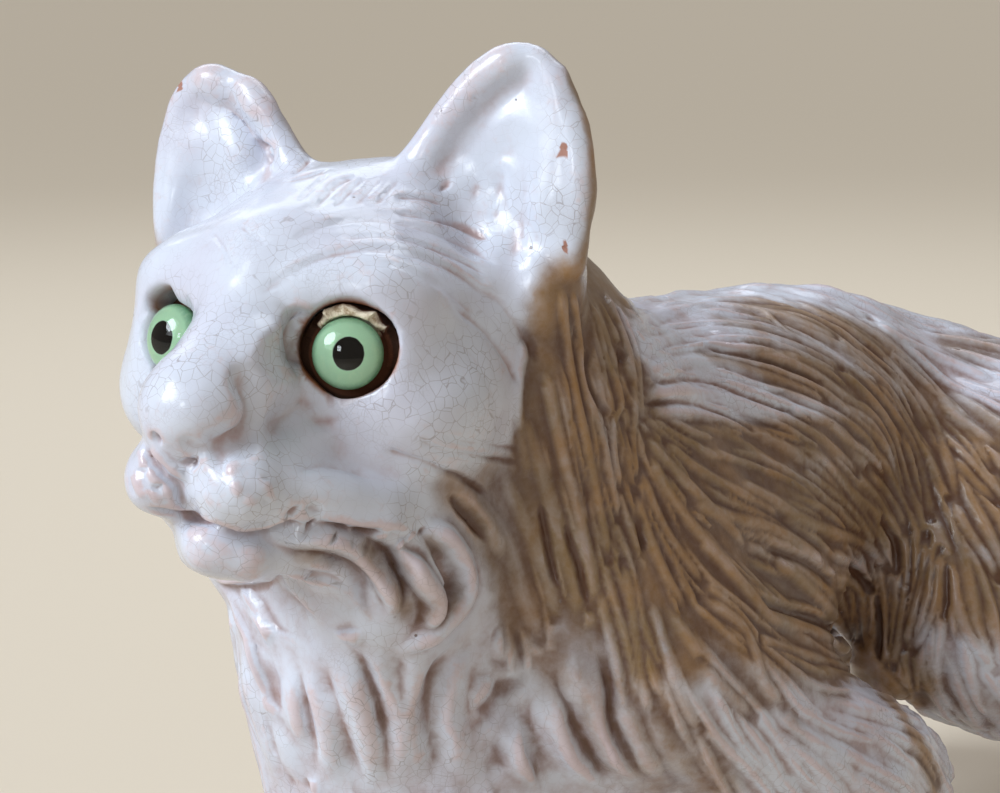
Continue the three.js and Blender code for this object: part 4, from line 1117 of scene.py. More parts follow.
def washed(sight, places, normals):
    """How much brown wash lies on each place. On the ears it lies behind and round the edge."""
    strokes = []
    for wide, strength, path in WASHES.values():
        laid = sight.lay(path)
        if len(laid) > 1:
            low = ease(-laid[:, 2:], -MIRROR_HEIGHT[1], -MIRROR_HEIGHT[0])
            other = mirrored(laid) * (1 - low) + laid * (-1, 1, 1) * low
            strokes += [(wide, strength, laid), (wide, strength, other)]
    for wide, strength, path in WASHES_BEHIND.values():
        laid = sight.settle(lengthwise(path, 3.0))
        strokes += [(wide, strength, laid), (wide, strength, sight.settle(laid * (-1, 1, 1)))]
    wash = brushed(places, strokes)
    rims = [(wide, strength, sight.lay(path)) for wide, strength, path in EAR_WASHES.values()]
    edges = brushed(places, rims)
    head = HEAD.inverted()
    facing = normals @ np.array(head)[:3, :3].T
    back = facing[:, 1]
    edges *= ease(facing @ np.array(EAR_OUTER), *EAR_OUTWARD)
    ear = ease(moved(places, head)[:, 2], *EAR_FOOT)
    wash *= 1 - ear * (1 - ease(back, *EAR_FORWARD))
    return np.maximum(np.maximum(wash, edges), EAR_STRENGTH * ear * ease(back, *EAR_BACKWARD))


def chipped(sight, places):
    """1 where a chip has bared the clay, and 0 elsewhere."""
    grid = Grid(places, 4.0)
    chip = np.zeros(len(places))
    for radius, (x, y) in CHIPS.values():
        way = sight.lay([(x, y - 2), (x, y + 2)])
        if len(way) < 2:
            continue
        near = grid.near(way, 2 * radius)
        gap = nearest_on(way, places[near])[1]
        chip[near] = np.maximum(chip[near], 1 - ease(gap, *(part * radius for part in CHIP_BARE)))
    return chip


def uneven(places, coat):
    """How the hand left the clay: gentle swells, and smaller ones on them."""
    rows = places.tolist()
    broad = np.array([noise.noise(Vector(p) / coat.swell_size) for p in rows])
    small = np.array([noise.noise(Vector(p) / coat.dab_size) for p in rows])
    return coat.swell * broad + coat.dab * small


# Triangles are thinned out fully beyond the second distance from the middle of the head, and least of all
# within the first.
THIN_OUT = (84, 130)
THIN_LEAST = 0.2


def thin_out(body, coat):
    """Fewer triangles, with more of them kept on the head than on the rest."""
    mesh = body.data
    mesh.calc_loop_triangles()
    places = np.empty(len(mesh.vertices) * 3)
    mesh.vertices.foreach_get("co", places)
    head = moved(places.reshape(-1, 3), HEAD.inverted())
    plain = (ease(np.linalg.norm(head, axis=1), *THIN_OUT) * (1 - THIN_LEAST) + THIN_LEAST).round(1)
    group = body.vertex_groups.new(name="plain")
    for level in np.unique(plain):
        group.add(np.flatnonzero(plain == level).tolist(), level, "REPLACE")
    ratio = min(coat.triangles / len(mesh.loop_triangles), 1)
    applied(body, "DECIMATE", ratio=ratio, vertex_group="plain", vertex_group_factor=coat.keep)


def socket_marks(places):
    """Where the clay of the sockets is bare, and how much painted shade darkens it deeper in."""
    bare = np.zeros(len(places))
    depth_shade = np.zeros(len(places))
    for word in SIDES:
        local = moved(places, eye_frame(word).inverted())
        depth = local[:, 1]
        across = np.hypot(local[:, 0], local[:, 2])
        closed = closed_in(word, np.degrees(np.arctan2(local[:, 2], local[:, 0])))
        inside = ease(-across - closed, *BARE_EDGE) * (depth > BARE_BACK) * ease(-depth, *BARE_FRONT)
        inside *= 1 - ease(closed, *LIP_CLOSE) * ease(depth, *LIP_DEPTH)
        bare = np.maximum(bare, inside)
        depth_shade = np.maximum(depth_shade, SOCKET_SHADE[word] * inside * ease(-depth, *SHADE_DEPTH))
    return bare, depth_shade


CLAY_REACH = 0.8
GROOVE_REACH = 1.4
HOLLOW_REACH = 3.2


def build_body(coat, eye):
    """The whole body: the solid's form, its marks and hair, its sockets, and what the glaze needs to know."""
    body = linked("glazed_cat", mesh_of(raw_body(), "glazed_cat"))
    voxel = coat.voxel * 1.0
    applied(body, "REMESH", mode="VOXEL", voxel_size=voxel)
    rough = Skin(body.data, voxel)
    rough.places = softened(rough, coat)
    rough.keep()
    refine(body.data, rough.places)
    skin = Skin(body.data, 0.5 * voxel)
    base = skin.spread(skin.places, CLAY_REACH)
    base += skin.normals(base) * uneven(base, coat)[:, None]
    normals = skin.normals(base)
    sight = Sight(skin.tree(base))
    relief = Relief(base, normals)
    comb = Comb()
    hand_marks(relief, comb, sight)
    combed_hair(relief, comb, sight, base, coat)
    skin.places = base + normals * relief.height()[:, None]
    skin.places = skin.spread(skin.places, coat.finger)
    skin.places[:, 2] = np.maximum(skin.places[:, 2], 0)
    skin.keep()
    groove = ((skin.spread(skin.places, GROOVE_REACH) - skin.places) * skin.normals()).sum(1)
    tree = KDTree(len(base))
    for i, place in enumerate(skin.places.tolist()):
        tree.insert(place, i)
    tree.balance()
    for word in SIDES:
        cutter = socket_cutter(word, eye)
        applied(body, "BOOLEAN", operation="DIFFERENCE", solver="MANIFOLD", object=cutter)
        bpy.data.objects.remove(cutter)
    thin_out(body, coat)
    mesh = body.data
    found = np.array([tree.find(v.co)[1] for v in mesh.vertices])
    final = Skin(mesh, 0.5 * voxel)
    normals = final.normals()
    socket, deep = socket_marks(final.places)
    hollow = ((final.spread(final.places, HOLLOW_REACH) - final.places) * normals).sum(1)
    store(mesh, "groove", groove[found])
    store(mesh, "tone", relief.tones[found])
    store(mesh, "hollow", hollow)
    store(mesh, "wash", final.spread(washed(sight, final.places, normals), WASH_SPREAD))
    store(mesh, "chip", chipped(sight, final.places))
    store(mesh, "socket", socket)
    # Painted shade: darker deeper in each socket.
    store(mesh, "deep", deep)
    store(mesh, "hair", long_hair(final.places))
    mesh.transform(PART)
    mesh.shade_smooth()
    return body


def turned(profile, word, name, shift=0.0, steps=72):
    """A shape turned about the axis of one eye, from a profile of radius and how far out it lies."""
    bm = bmesh.new()
    verts = [bm.verts.new((r, y, 0)) for r, y in profile]
    edges = [bm.edges.new(pair) for pair in zip(verts, verts[1:])]
    bmesh.ops.spin(
        bm, geom=verts + edges, cent=(0, 0, 0), axis=(0, 1, 0), angle=2 * math.pi, steps=steps, use_merge=True
    )
    bmesh.ops.remove_doubles(bm, verts=bm.verts, dist=1e-4)
    bmesh.ops.recalc_face_normals(bm, faces=bm.faces)
    radii = [math.hypot(v.co.x, v.co.z) for v in bm.verts]
    pupil = [math.hypot(v.co.x - shift, PUPIL_TALL * v.co.z) for v in bm.verts]
    bmesh.ops.transform(bm, matrix=PART @ eye_frame(word), verts=bm.verts)
    mesh = mesh_of(bm, name)
    store(mesh, "radius", radii)
    store(mesh, "pupil", pupil)
    mesh.shade_smooth()
    return linked(name, mesh)


def dome(radius, height, start, steps=14):
    """The quarter of an oval from its rim to its top."""
    angles = [i / steps * math.pi / 2 for i in range(steps + 1)]
    return [(radius * math.cos(a), start + height * math.sin(a)) for a in angles[:-1]] + [(0, start + height)]


# The glass of an eye: its radius, how far it goes back from the rim and how high its dome is, in millimetres.
EYE_RADIUS = 8.5
EYE_BACK = 3.0
EYE_DOME = 5.5

# How the back of the glass is rounded off, in steps in from the rim and one forward, and the same for the
# iris, which lies a little in front of the back.
EYE_ROUND = (1.2, 0.3, 0.9)
IRIS_ROUND = (0.6, 1)
IRIS_BACK = 0.3

# How far the pupil sits off the middle of each iris, in millimetres, and how much less its height counts.
PUPIL_SHIFT = {"left": -0.6, "right": 0.0}
PUPIL_TALL = 0.94


def build_eye(word, eye):
    """The clear glass of one eye, and the opal glass that lies inside it."""
    first, second, forward = EYE_ROUND
    back = [(0, -EYE_BACK), (EYE_RADIUS - first, -EYE_BACK), (EYE_RADIUS - second, -EYE_BACK + forward)]
    glass = turned(back + dome(EYE_RADIUS, EYE_DOME, 0), word, f"glass_{word}")
    inner = EYE_RADIUS - eye.glass_edge
    first, forward = IRIS_ROUND
    floor = IRIS_BACK - EYE_BACK
    deep = [(0, floor), (inner - first, floor), (inner, forward - EYE_BACK)]
    iris = turned(deep + dome(inner, EYE_DOME - eye.glass_depth, 0), word, f"iris_{word}", PUPIL_SHIFT[word])
    return glass, iris


# What is left of each plaster bed: where the piece begins and ends round the eye, in degrees, and how high it
# still stands. The rest has crumbled away down to the floor, and each end is ragged over so many degrees.
PLASTER_LEFT = {"left": (36, 142, 1.0), "right": (262, 296, 0.6)}
PLASTER_FLOOR = -5.0
PLASTER_WORN = 0.12
PLASTER_GRAIN = 0.4
RAGGED = 5
FRAYED = (-4, 6)
PAST_END = 40

# How rough it is, fine and coarse: a height and a reach in millimetres. It has shrunk back a little too,
# where it is free: in front of these depths, outside the first radii and inside the second.
ROUGH = (0.12, 0.5)
LUMPS = (0.22, 1.6)
SHRUNK = 0.25
FREE_DEPTH = (-3.4, -2.6)
FREE_INNER = (8.7, 9.4)
FREE_OUTER = (-12.4, -11.8)

# It has crumbled away near the wall of the socket too, unevenly by so many millimetres.
KEPT_OUTER = (-12.0, -10.8)
LUMPS_BITE = 0.5

# Where its stain and painted shade are less, near the glass, and what is left of them there.
STAIN_SHADE_REACH = (9.2, 11.0)
STAIN_SHADE_LEAST = 0.45


def build_plaster(word, coat):
    """The plaster bed, crumbled away round most of the eye."""
    name = f"plaster_bed_{word}"
    place = eye_frame(word)
    bm = bmesh.new()
    bm.from_mesh(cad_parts[f"plaster_{word}"].data)
    bmesh.ops.remove_doubles(bm, verts=bm.verts, dist=MERGE)
    bmesh.ops.transform(bm, matrix=PART.inverted(), verts=bm.verts)
    bed = linked(name, mesh_of(bm, name))
    applied(bed, "REMESH", mode="VOXEL", voxel_size=PLASTER_GRAIN)
    skin = Skin(bed.data, PLASTER_GRAIN)
    rng = np.random.default_rng(coat.seed + len(word))
    rough = skin.spread(rng.normal(0, 1, len(skin.places)), ROUGH[1])
    lumps = skin.spread(rng.normal(0, 1, len(skin.places)), LUMPS[1])
    rough *= ROUGH[0] / rough.std()
    lumps *= LUMPS[0] / lumps.std()
    local = moved(skin.places, place.inverted())
    depth = local[:, 1]
    across = np.hypot(local[:, 0], local[:, 2])
    free = ease(depth, *FREE_DEPTH) * ease(across, *FREE_INNER) * ease(-across, *FREE_OUTER)
    skin.places += skin.normals() * ((rough + lumps - SHRUNK) * free)[:, None]

    start, end, high = PLASTER_LEFT[word]
    angle = (np.degrees(np.arctan2(local[:, 2], local[:, 0])) - start) % 360
    ragged = RAGGED * lumps / LUMPS[0]
    left = high * ease(angle + ragged, *FRAYED) * ease(end - start - angle + ragged, *FRAYED)
    left *= angle < end - start + PAST_END
    left *= ease(-across - LUMPS_BITE * lumps / LUMPS[0], *KEPT_OUTER)
    worn = ease(depth, PLASTER_FLOOR - 0.5, PLASTER_FLOOR + 0.5)
    rise = (depth - PLASTER_FLOOR) * (1 - (1 - left) * (1 - PLASTER_WORN)) + PLASTER_FLOOR
    local = moved(skin.places, place.inverted())
    local[:, 1] = local[:, 1] * (1 - worn) + np.minimum(rise, local[:, 1]) * worn
    skin.places = moved(local, place)
    skin.places = skin.spread(skin.places, 1.5 * PLASTER_GRAIN)
    skin.keep()
    # Where the bed has crumbled away: a rust stain near the glass, and painted shade darker toward the socket
    # wall.
    less = STAIN_SHADE_LEAST + (1 - STAIN_SHADE_LEAST) * ease(across, *STAIN_SHADE_REACH)
    store(bed.data, "dirt", (1 - left) * less)
    bed.data.transform(PART)
    bed.data.shade_smooth()
    return bed


class Value:
    """What a node gives, so that a plain expression on it adds the nodes that work it out."""

    def __init__(self, finish, socket):
        self.finish = finish
        self.socket = socket

    def __getitem__(self, name):
        return Value(self.finish, self.socket.node.outputs[name])

    def maths(self, operation, *operands):
        return self.finish.node("Math", {"operation": operation}, dict(enumerate(operands)))

    def __add__(self, other):
        return self.maths("ADD", self, other)

    def __sub__(self, other):
        return self.maths("SUBTRACT", self, other)

    def __rsub__(self, other):
        return self.maths("SUBTRACT", other, self)

    def __mul__(self, other):
        return self.maths("MULTIPLY", self, other)

    __radd__ = __add__
    __rmul__ = __mul__

    def ease(self, low, high):
        """Rises smoothly from 0 at low to 1 at high, or falls where low is the greater."""
        if low > high:
            return 1 - self.ease(high, low)
        return self.finish.node(
            "MapRange", {"interpolation_type": "SMOOTHSTEP"}, {0: self, 1: low, 2: high, 3: 0.0, 4: 1.0}
        )

    def least(self, other):
        return self.maths("MINIMUM", self, other)

    def most(self, other):
        return self.maths("MAXIMUM", self, other)


class Finish:
    """A material whose nodes are all made by one method."""

    def __init__(self, name):
        self.material = bpy.data.materials.new(name)
        self.material.use_nodes = True
        self.tree = self.material.node_tree
        self.shader = self.tree.nodes["Principled BSDF"]
        place = self.node("TexCoord")["Object"]
        self.mm = self.node("VectorMath", {"operation": "SCALE"}, {0: place, "Scale": 1 / MM})

    def feed(self, socket, value):
        if isinstance(value, Value):
            self.tree.links.new(value.socket, socket)
        elif hasattr(value, "__len__") and len(value) == 3 and len(socket.default_value) == 4:
            socket.default_value = (*value, 1)
        else:
            socket.default_value = value

    def node(self, kind, settings=None, sockets=None, output=0):
        made = self.tree.nodes.new("ShaderNode" + kind)
        for key, value in (settings or {}).items():
            setattr(made, key, value)
        for key, value in (sockets or {}).items():
            self.feed(made.inputs[key], value)
        return Value(self, made.outputs[output])

    def surface(self, **sockets):
        for key, value in sockets.items():
            self.feed(self.shader.inputs[key.replace("_", " ")], value)

    def mix(self, first, second, factor):
        return self.node("Mix", {"data_type": "RGBA"}, {0: factor, 6: first, 7: second}, 2)

    def attribute(self, name):
        return self.node("Attribute", {"attribute_name": name})["Fac"]

    def noise(self, size, detail=2.0, roughness=0.5):
        """Clouds whose features are about a size in millimetres across."""
        sockets = {"Vector": self.mm, "Scale": 1 / size, "Detail": detail, "Roughness": roughness}
        return self.node("TexNoise", {}, sockets)["Fac"]

    def shifted(self, size, amount):
        """Places pushed about by clouds, so that a pattern on them wanders."""
        cloud = self.node("TexNoise", {}, {"Vector": self.mm, "Scale": 1 / size, "Detail": 2.0})["Color"]
        centred = self.node("VectorMath", {"operation": "SUBTRACT"}, {0: cloud, 1: (0.5, 0.5, 0.5)})
        push = self.node("VectorMath", {"operation": "SCALE"}, {0: centred, "Scale": amount})
        return self.node("VectorMath", {"operation": "ADD"}, {0: self.mm, 1: push})

    def cracks(self, cell, wide, place):
        """A net of fine cracks: 1 on a crack and 0 away from it."""
        net = self.node(
            "TexVoronoi", {"feature": "DISTANCE_TO_EDGE"}, {"Vector": place, "Scale": 1 / cell}
        )["Distance"]
        return net.ease(wide / cell, 0.0)

    def bump(self, height, depth):
        """Height is between 0 and 1, and depth is in millimetres."""
        return self.node("Bump", {}, {"Height": height, "Distance": depth * MM, "Strength": 1.0})["Normal"]


def linear(red, green, blue):
    """A colour from 0 to 255, as it shows on a screen, turned into light."""
    shown = (red / 255, green / 255, blue / 255)
    return tuple(c / 12.92 if c <= 0.04045 else ((c + 0.055) / 1.055) ** 2.4 for c in shown)


def glaze_finish(glaze):
    """White tin glaze, crackled, thin and pink on the edges, with a brown wash pooled in the grooves."""
    f = Finish("tin_glaze")
    groove = f.attribute("groove")
    hollow = f.attribute("hollow")
    tone = f.attribute("tone")
    patches = f.noise(26, 3.0)
    cloud = f.noise(9, 4.0, 0.6)
    fine = f.noise(2.2, 3.0, 0.6)
    low = groove + hollow * 0.4
    pooled = (low * 1.3 + (fine - 0.5) * 0.5 + (cloud - 0.5) * 0.4).ease(0.05, 1.1)
    edge = (0 - groove * 2.2 + (fine - 0.5) * 0.8 + (cloud - 0.5) * 0.6 - 0.15).ease(0.05, 0.7)

    hairy = f.attribute("hair")
    white = f.mix(tuple(glaze.white), tuple(glaze.shadow), patches.ease(0.35, 0.75) * 0.6)
    white = f.mix(white, tuple(glaze.pink), edge * 0.34 + (fine * cloud).ease(0.28, 0.5) * 0.1)
    white = f.mix(white, tuple(glaze.blush), hairy * (cloud + low * 0.3).ease(0.35, 0.8) * 0.4)
    stain = f.mix(tuple(glaze.blush), tuple(glaze.stain), hairy)
    white = f.mix(white, stain, pooled * (0.34 + 0.4 * cloud.ease(0.35, 0.65)))

    streak = tone * 0.25 + (cloud - 0.5) * 0.7 + (fine - 0.5) * 0.3
    wash = f.attribute("wash")
    painted = (wash * 1.2 + low * 0.32 + streak * 0.5 - 0.2).ease(0.0, 1.0)
    thick = (low * 1.3 + streak * 0.5 + 0.3).ease(-0.35, 1.1)
    tan = f.mix(tuple(glaze.tan), tuple(glaze.olive), patches.ease(0.4, 0.6))
    tan = f.mix(tan, tuple(glaze.umber), thick)
    colour = f.mix(white, tan, painted * (0.86 + 0.14 * fine))

    place = f.shifted(6.0, 1.6)
    net = f.cracks(glaze.cell, glaze.line, place)
    finer = f.cracks(glaze.cell * 0.5, glaze.line * 0.7, place)
    shown = f.noise(22, 2.0).ease(0.4, 0.62)
    lines = (net * (0.1 + 0.55 * shown)).most(finer * f.noise(15, 2.0).ease(0.55, 0.7) * 0.3)
    colour = f.mix(colour, tuple(glaze.crack), lines * (1 - 0.85 * painted) * (1 - pooled))

    specks = f.node("TexVoronoi", {}, {"Vector": f.mm, "Scale": 1 / 5.5})["Distance"].ease(0.1, 0.04)
    specks = specks * f.noise(14, 2.0).ease(0.58, 0.68)
    colour = f.mix(colour, tuple(glaze.umber), specks * 0.8)

    chip = (f.attribute("chip") + (fine - 0.5) * 0.4).ease(0.3, 0.7)
    colour = f.mix(colour, tuple(glaze.chip), chip)

    socket = f.attribute("socket")
    # Painted shade: the bare clay of the sockets darkens toward the socket shade colour deeper in.
    depth_shade = f.attribute("deep") + (cloud - 0.5) * 0.5
    colour = f.mix(colour, f.mix(tuple(glaze.clay), tuple(glaze.socket_shade), depth_shade), socket)

    skin = f.noise(3.2, 3.0, 0.5) * 0.7 + fine * 0.2 - lines * 0.25 - specks * 0.8
    f.surface(
        Base_Color=colour,
        Roughness=(glaze.gloss + 0.1 * cloud + 0.12 * painted + 0.5 * socket + 0.5 * chip).least(0.9),
        Normal=f.bump(skin, 0.1),
        Specular_IOR_Level=0.45,
    )
    return f.material


def glass_finish():
    f = Finish("clear_glass")
    f.surface(Base_Color=(1, 1, 1), Roughness=0.0, IOR=1.5, Transmission_Weight=1.0)
    return f.material


def iris_finish(eye):
    """Pale green opal glass with a round black pupil."""
    f = Finish("opal_iris")
    radius = f.attribute("radius")
    cloud = f.noise(1.6, 3.0, 0.6)
    green = f.mix(tuple(eye.green), tuple(eye.green_edge), (radius + (cloud - 0.5) * 1.2).ease(6.4, 7.9))
    green = f.mix(green, tuple(eye.green_light), cloud.ease(0.5, 0.75) * 0.35)
    ring = (f.attribute("pupil") + (cloud - 0.5) * 0.25).ease(eye.pupil + 0.12, eye.pupil - 0.12)
    f.surface(Base_Color=f.mix(green, (0.002, 0.002, 0.002), ring), Roughness=0.4, Specular_IOR_Level=0.0)
    return f.material


def plaster_finish(glaze):
    f = Finish("old_plaster")
    cloud = f.noise(3.0, 4.0, 0.6)
    grain = f.noise(0.5, 3.0, 0.7)
    colour = f.mix(tuple(glaze.plaster), tuple(glaze.plaster_dirt), (cloud + grain * 0.4).ease(0.62, 0.95))
    # Rust stain close round the glass, then painted shade darker toward the socket wall, where the bed has
    # crumbled.
    dirt = f.attribute("dirt")
    colour = f.mix(colour, tuple(glaze.rust), (dirt + (cloud - 0.5) * 0.3).ease(0.1, 0.4))
    colour = f.mix(colour, tuple(glaze.socket_shade), (dirt + (cloud - 0.5) * 0.4).ease(0.5, 0.8))
    f.surface(Base_Color=colour, Roughness=0.92, Normal=f.bump(grain, 0.25))
    return f.material


def floor_finish(stage):
    f = Finish("pale_floor")
    f.surface(Base_Color=tuple(stage.floor), Roughness=0.75)
    return f.material


# The lamps round the figure: the way to each, as the viewer has it, how far off it stands and its size, in
# metres, and its colour. The daylight comes from all along its way.
LAMP_TARGET = Vector((0, 0, 190))
LAMPS = {
    "window": ((-0.72, -0.5, 0.62), 1.7, (0.8, 1.2), (0.86, 0.93, 1.0)),
    "pane": ((-0.42, -0.86, 0.36), 2.0, (0.26, 0.36), (0.86, 0.93, 1.0)),
    "fill": ((0.85, -0.55, 0.35), 2.2, (1.6, 1.6), (1.0, 0.94, 0.86)),
    "rim": ((-0.2, 0.9, 0.75), 2.0, (1.6, 0.8), (0.82, 0.9, 1.0)),
    "above": ((0.35, 0.5, 1.0), 2.0, (1.0, 1.0), (0.82, 0.9, 1.0)),
}
DAY_WAY = Vector((-0.76, -0.36, 0.64))
DAY_COLOUR = (0.84, 0.925, 1.0)
FLOOR_HALF = 60.0


def build_stage(stage):
    """A plain pale floor, a soft window light, soft fills and the camera."""
    scene = bpy.context.scene
    bm = bmesh.new()
    bmesh.ops.create_grid(bm, x_segments=2, y_segments=2, size=FLOOR_HALF)
    floor = linked("floor", mesh_of(bm, "floor"))
    floor.data.materials.append(floor_finish(stage))

    camera = bpy.data.cameras.new("camera")
    camera.sensor_width = SENSOR
    camera.lens = VIEW_FOCAL * SENSOR / PICTURE[0]
    camera.clip_end = 200.0
    eye = bpy.data.objects.new("camera", camera)
    scene.collection.objects.link(eye)
    eye.location = PART @ VIEW_PLACE
    eye.rotation_euler = (math.radians(90 - VIEW_PITCH), 0, math.radians(VIEW_AZIMUTH))
    scene.camera = eye

    world = bpy.data.worlds.new("studio")
    world.use_nodes = True
    sky = world.node_tree.nodes["Background"]
    sky.inputs["Color"].default_value = (*stage.sky, 1)
    sky.inputs["Strength"].default_value = stage.sky_strength
    scene.world = world
    scene.view_settings.view_transform = "Standard"

    turn = Matrix.Rotation(math.radians(VIEW_AZIMUTH), 3, "Z")
    target = PART @ LAMP_TARGET
    day = bpy.data.lights.new("day", "SUN")
    day.energy = stage.day
    day.angle = math.radians(stage.day_spread)
    day.color = DAY_COLOUR
    lamp = bpy.data.objects.new("day", day)
    scene.collection.objects.link(lamp)
    lamp.rotation_euler = (turn @ DAY_WAY).to_track_quat("Z", "Y").to_euler()
    for name, (way, far, size, colour) in LAMPS.items():
        light = bpy.data.lights.new(name, "AREA")
        light.shape = "RECTANGLE"
        light.size, light.size_y = size
        light.energy = getattr(stage, name)
        light.color = colour
        lamp = bpy.data.objects.new(name, light)
        scene.collection.objects.link(lamp)
        away = (turn @ Vector(way)).normalized()
        lamp.location = target + away * far
        lamp.rotation_euler = away.to_track_quat("Z", "Y").to_euler()


def size_of(name, default, description, low=0.0, high=100.0):
    return FloatProperty(name=name, description=description, default=default, min=low, max=high)


def count_of(name, default, description):
    return IntProperty(name=name, description=description, default=default)


def colour_of(name, default, description):
    return FloatVectorProperty(
        name=name, description=description, default=linear(*default), subtype="COLOR", size=3, min=0, max=1
    )


class CatCoatSettings(bpy.types.PropertyGroup):
    voxel: size_of("Grain", 1.0, "How fine the clay is modelled, in millimetres", 0.4, 4.0)
    triangles: count_of("Triangles", 198000, "Most triangles on the finished body")
    soft_face: size_of("Soft, face", 1.7, "How far the solid's edges are rounded, in millimetres")
    soft_ears: size_of("Soft, ears", 1.7, "How much further they are rounded on the ears, in millimetres")
    soft_coat: size_of("Soft, coat", 5.0, "How far they are rounded under the long hair, in millimetres")
    swell: size_of("Swell", 0.45, "How high the gentle swells of the clay are, in millimetres")
    swell_size: size_of("Swell size", 16.0, "How broad they are, in millimetres", 1)
    dab: size_of("Dab", 0.16, "How high the smaller ones are, in millimetres")
    dab_size: size_of("Dab size", 5.0, "How broad they are, in millimetres", 1)
    finger: size_of("Finger", 0.25, "How far the finished clay is smoothed over, in millimetres")
    keep: size_of("Keep", 0.02, "How much more the face and ears keep of their grain than the rest")
    step: size_of("Step", 3.0, "How far a strand runs between two of its points, in millimetres")
    sway: size_of("Sway", 0.13, "How much a strand swings to either side of the comb")
    curl: size_of("Curl", 9.0, "How far a strand runs in a sixth of a swing, in millimetres")
    tries: count_of("Tries", 16000, "How many places are tried for the root of a strand")
    apart: size_of("Apart", 9.0, "How far apart roots are along the comb, in half-widths")
    beside: size_of("Beside", 1.45, "How far apart roots are across the comb, in half-widths")
    lengths: FloatVectorProperty(
        name="Lengths", description="Shortest and longest strand, in half-widths", default=(15, 32), size=2
    )
    seed: count_of("Seed", 11, "Where the random draws start")


class CatEyeSettings(bpy.types.PropertyGroup):
    socket_radius: size_of("Socket", 12.3, "Radius of the hole that an eye sits in, in millimetres")
    pupil: size_of("Pupil", 3.5, "Radius of the black pupil, in millimetres")
    glass_edge: size_of("Clear edge", 0.5, "Clear glass at the rim of the eye, in millimetres")
    glass_depth: size_of("Clear depth", 2.4, "Clear glass over the pupil, in millimetres")
    green: colour_of("Green", (190, 234, 196), "Colour of the iris")
    green_light: colour_of("Light green", (214, 244, 204), "Where the iris is paler")
    green_edge: colour_of("Edge green", (136, 190, 150), "Colour of the rim of the iris")


class CatGlazeSettings(bpy.types.PropertyGroup):
    cell: size_of("Crackle", 2.8, "How far apart the cracks in the glaze are, in millimetres")
    line: size_of("Crack", 0.1, "Half-width of a crack, in millimetres")
    gloss: size_of("Roughness", 0.15, "How rough the glaze is where it is smoothest")
    white: colour_of("White", (206, 212, 226), "The tin glaze")
    shadow: colour_of("Grey", (196, 194, 210), "Where the tin glaze is greyer")
    pink: colour_of("Pink", (206, 158, 142), "Where the clay shows through on an edge")
    stain: colour_of("Stain", (132, 94, 78), "What has pooled in the grooves")
    blush: colour_of("Blush", (164, 128, 120), "What has pooled in the fine marks of the face")
    tan: colour_of("Tan", (148, 110, 60), "The brown wash where it is thin")
    olive: colour_of("Olive", (130, 102, 58), "Where the brown wash is greyer")
    umber: colour_of("Umber", (86, 54, 30), "The brown wash where it is thick")
    crack: colour_of("Crack", (146, 136, 138), "Colour of the cracks")
    chip: colour_of("Chip", (160, 116, 102), "The clay where the glaze is knocked off")
    clay: colour_of("Clay", (146, 92, 62), "The bare clay in the sockets")
    # Painted shade: the darkness deep in the eye sockets and on the crumbled plaster beds.
    socket_shade: colour_of("Socket shade", (62, 36, 20), "The dirt deep in the sockets")
    rust: colour_of("Rust", (104, 62, 42), "The stained bed close round the glass")
    plaster: colour_of("Plaster", (232, 222, 200), "The plaster that beds the eyes")
    plaster_dirt: colour_of("Plaster dirt", (150, 120, 84), "Where the plaster is stained")


class CatStageSettings(bpy.types.PropertyGroup):
    floor: colour_of("Floor", (211, 199, 181), "Colour of the floor")
    sky: colour_of("Sky", (236, 224, 210), "Colour of the light from all round")
    sky_strength: size_of("Sky strength", 0.36, "Strength of the light from all round")
    day: size_of("Day", 2.55, "Strength of the daylight")
    day_spread: size_of("Day spread", 30.0, "Width of the patch of sky it comes from, in degrees", 0, 180)
    window: size_of("Window", 7.0, "Power of the window light, in watts", 0, 1000)
    pane: size_of("Pane", 4.0, "Power of the small bright window behind the viewer, in watts", 0, 1000)
    fill: size_of("Fill", 1.5, "Power of the fill light, in watts", 0, 1000)
    above: size_of("Above", 10.0, "Power of the light from overhead, in watts", 0, 1000)
    rim: size_of("Rim", 8.0, "Power of the light from behind, in watts", 0, 1000)


class CAT_OT_body(bpy.types.Operator):
    """Model the coat on the fired body, cut the eye sockets and glaze it"""

    bl_idname = "cat.body"
    bl_label = "Glazed body"

    def execute(self, context):
        scene = context.scene
        body = build_body(scene.cat_coat, scene.cat_eye)
        body.data.materials.clear()
        body.data.materials.append(glaze_finish(scene.cat_glaze))
        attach(body, "root")
        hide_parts("cat_body")
        return {"FINISHED"}


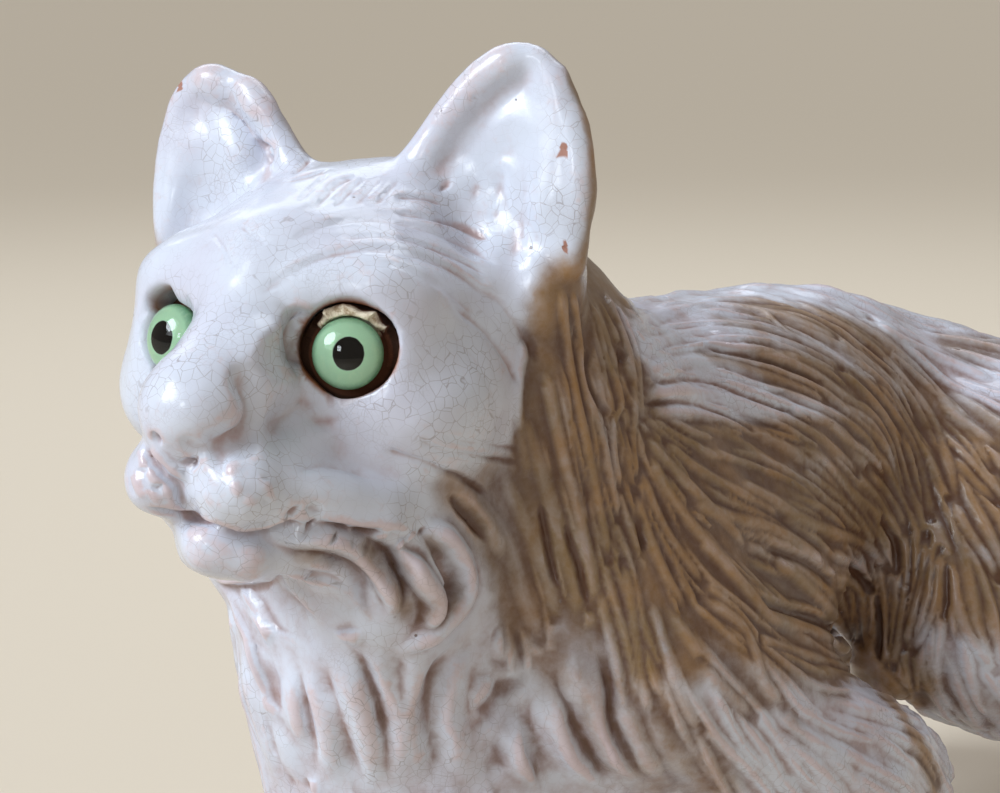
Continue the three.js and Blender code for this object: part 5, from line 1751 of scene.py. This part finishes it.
class CAT_OT_eyes(bpy.types.Operator):
    """Make both glass eyes, each a clear dome over an opal iris"""

    bl_idname = "cat.eyes"
    bl_label = "Glass eyes"

    def execute(self, context):
        scene = context.scene
        clear = glass_finish()
        opal = iris_finish(scene.cat_eye)
        for word in SIDES:
            glass, iris = build_eye(word, scene.cat_eye)
            for piece, finish in ((glass, clear), (iris, opal)):
                piece.data.materials.append(finish)
                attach(piece, "root")
            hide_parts(f"eye_{word}")
        return {"FINISHED"}


class CAT_OT_plaster(bpy.types.Operator):
    """Crumble the plaster that beds the eyes"""

    bl_idname = "cat.plaster"
    bl_label = "Plaster beds"

    def execute(self, context):
        scene = context.scene
        chalk = plaster_finish(scene.cat_glaze)
        for word in SIDES:
            bed = build_plaster(word, scene.cat_coat)
            bed.data.materials.clear()
            bed.data.materials.append(chalk)
            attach(bed, "root")
            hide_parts(f"plaster_{word}")
        return {"FINISHED"}


class CAT_OT_stage(bpy.types.Operator):
    """Set up the floor, the lights and the camera"""

    bl_idname = "cat.stage"
    bl_label = "Stage"

    def execute(self, context):
        build_stage(context.scene.cat_stage)
        return {"FINISHED"}


class CAT_PT_panel(bpy.types.Panel):
    """The steps that dress the cat"""

    bl_label = "Glazed cat"
    bl_space_type = "VIEW_3D"
    bl_region_type = "UI"
    bl_category = "Glazed cat"

    def draw(self, context):
        for step in STEPS:
            self.layout.operator(step.bl_idname)


STEPS = (CAT_OT_stage, CAT_OT_body, CAT_OT_eyes, CAT_OT_plaster)
SETTINGS = {
    "cat_coat": CatCoatSettings,
    "cat_eye": CatEyeSettings,
    "cat_glaze": CatGlazeSettings,
    "cat_stage": CatStageSettings,
}


def register():
    for kind in (*SETTINGS.values(), *STEPS, CAT_PT_panel):
        bpy.utils.register_class(kind)
    for name, kind in SETTINGS.items():
        setattr(bpy.types.Scene, name, PointerProperty(type=kind))


def unregister():
    for name in SETTINGS:
        delattr(bpy.types.Scene, name)
    for kind in (CAT_PT_panel, *STEPS, *SETTINGS.values()):
        bpy.utils.unregister_class(kind)


def main():
    register()
    bpy.ops.cat.stage()
    bpy.ops.cat.body()
    bpy.ops.cat.eyes()
    bpy.ops.cat.plaster()


if __name__ == "__main__":
    main()
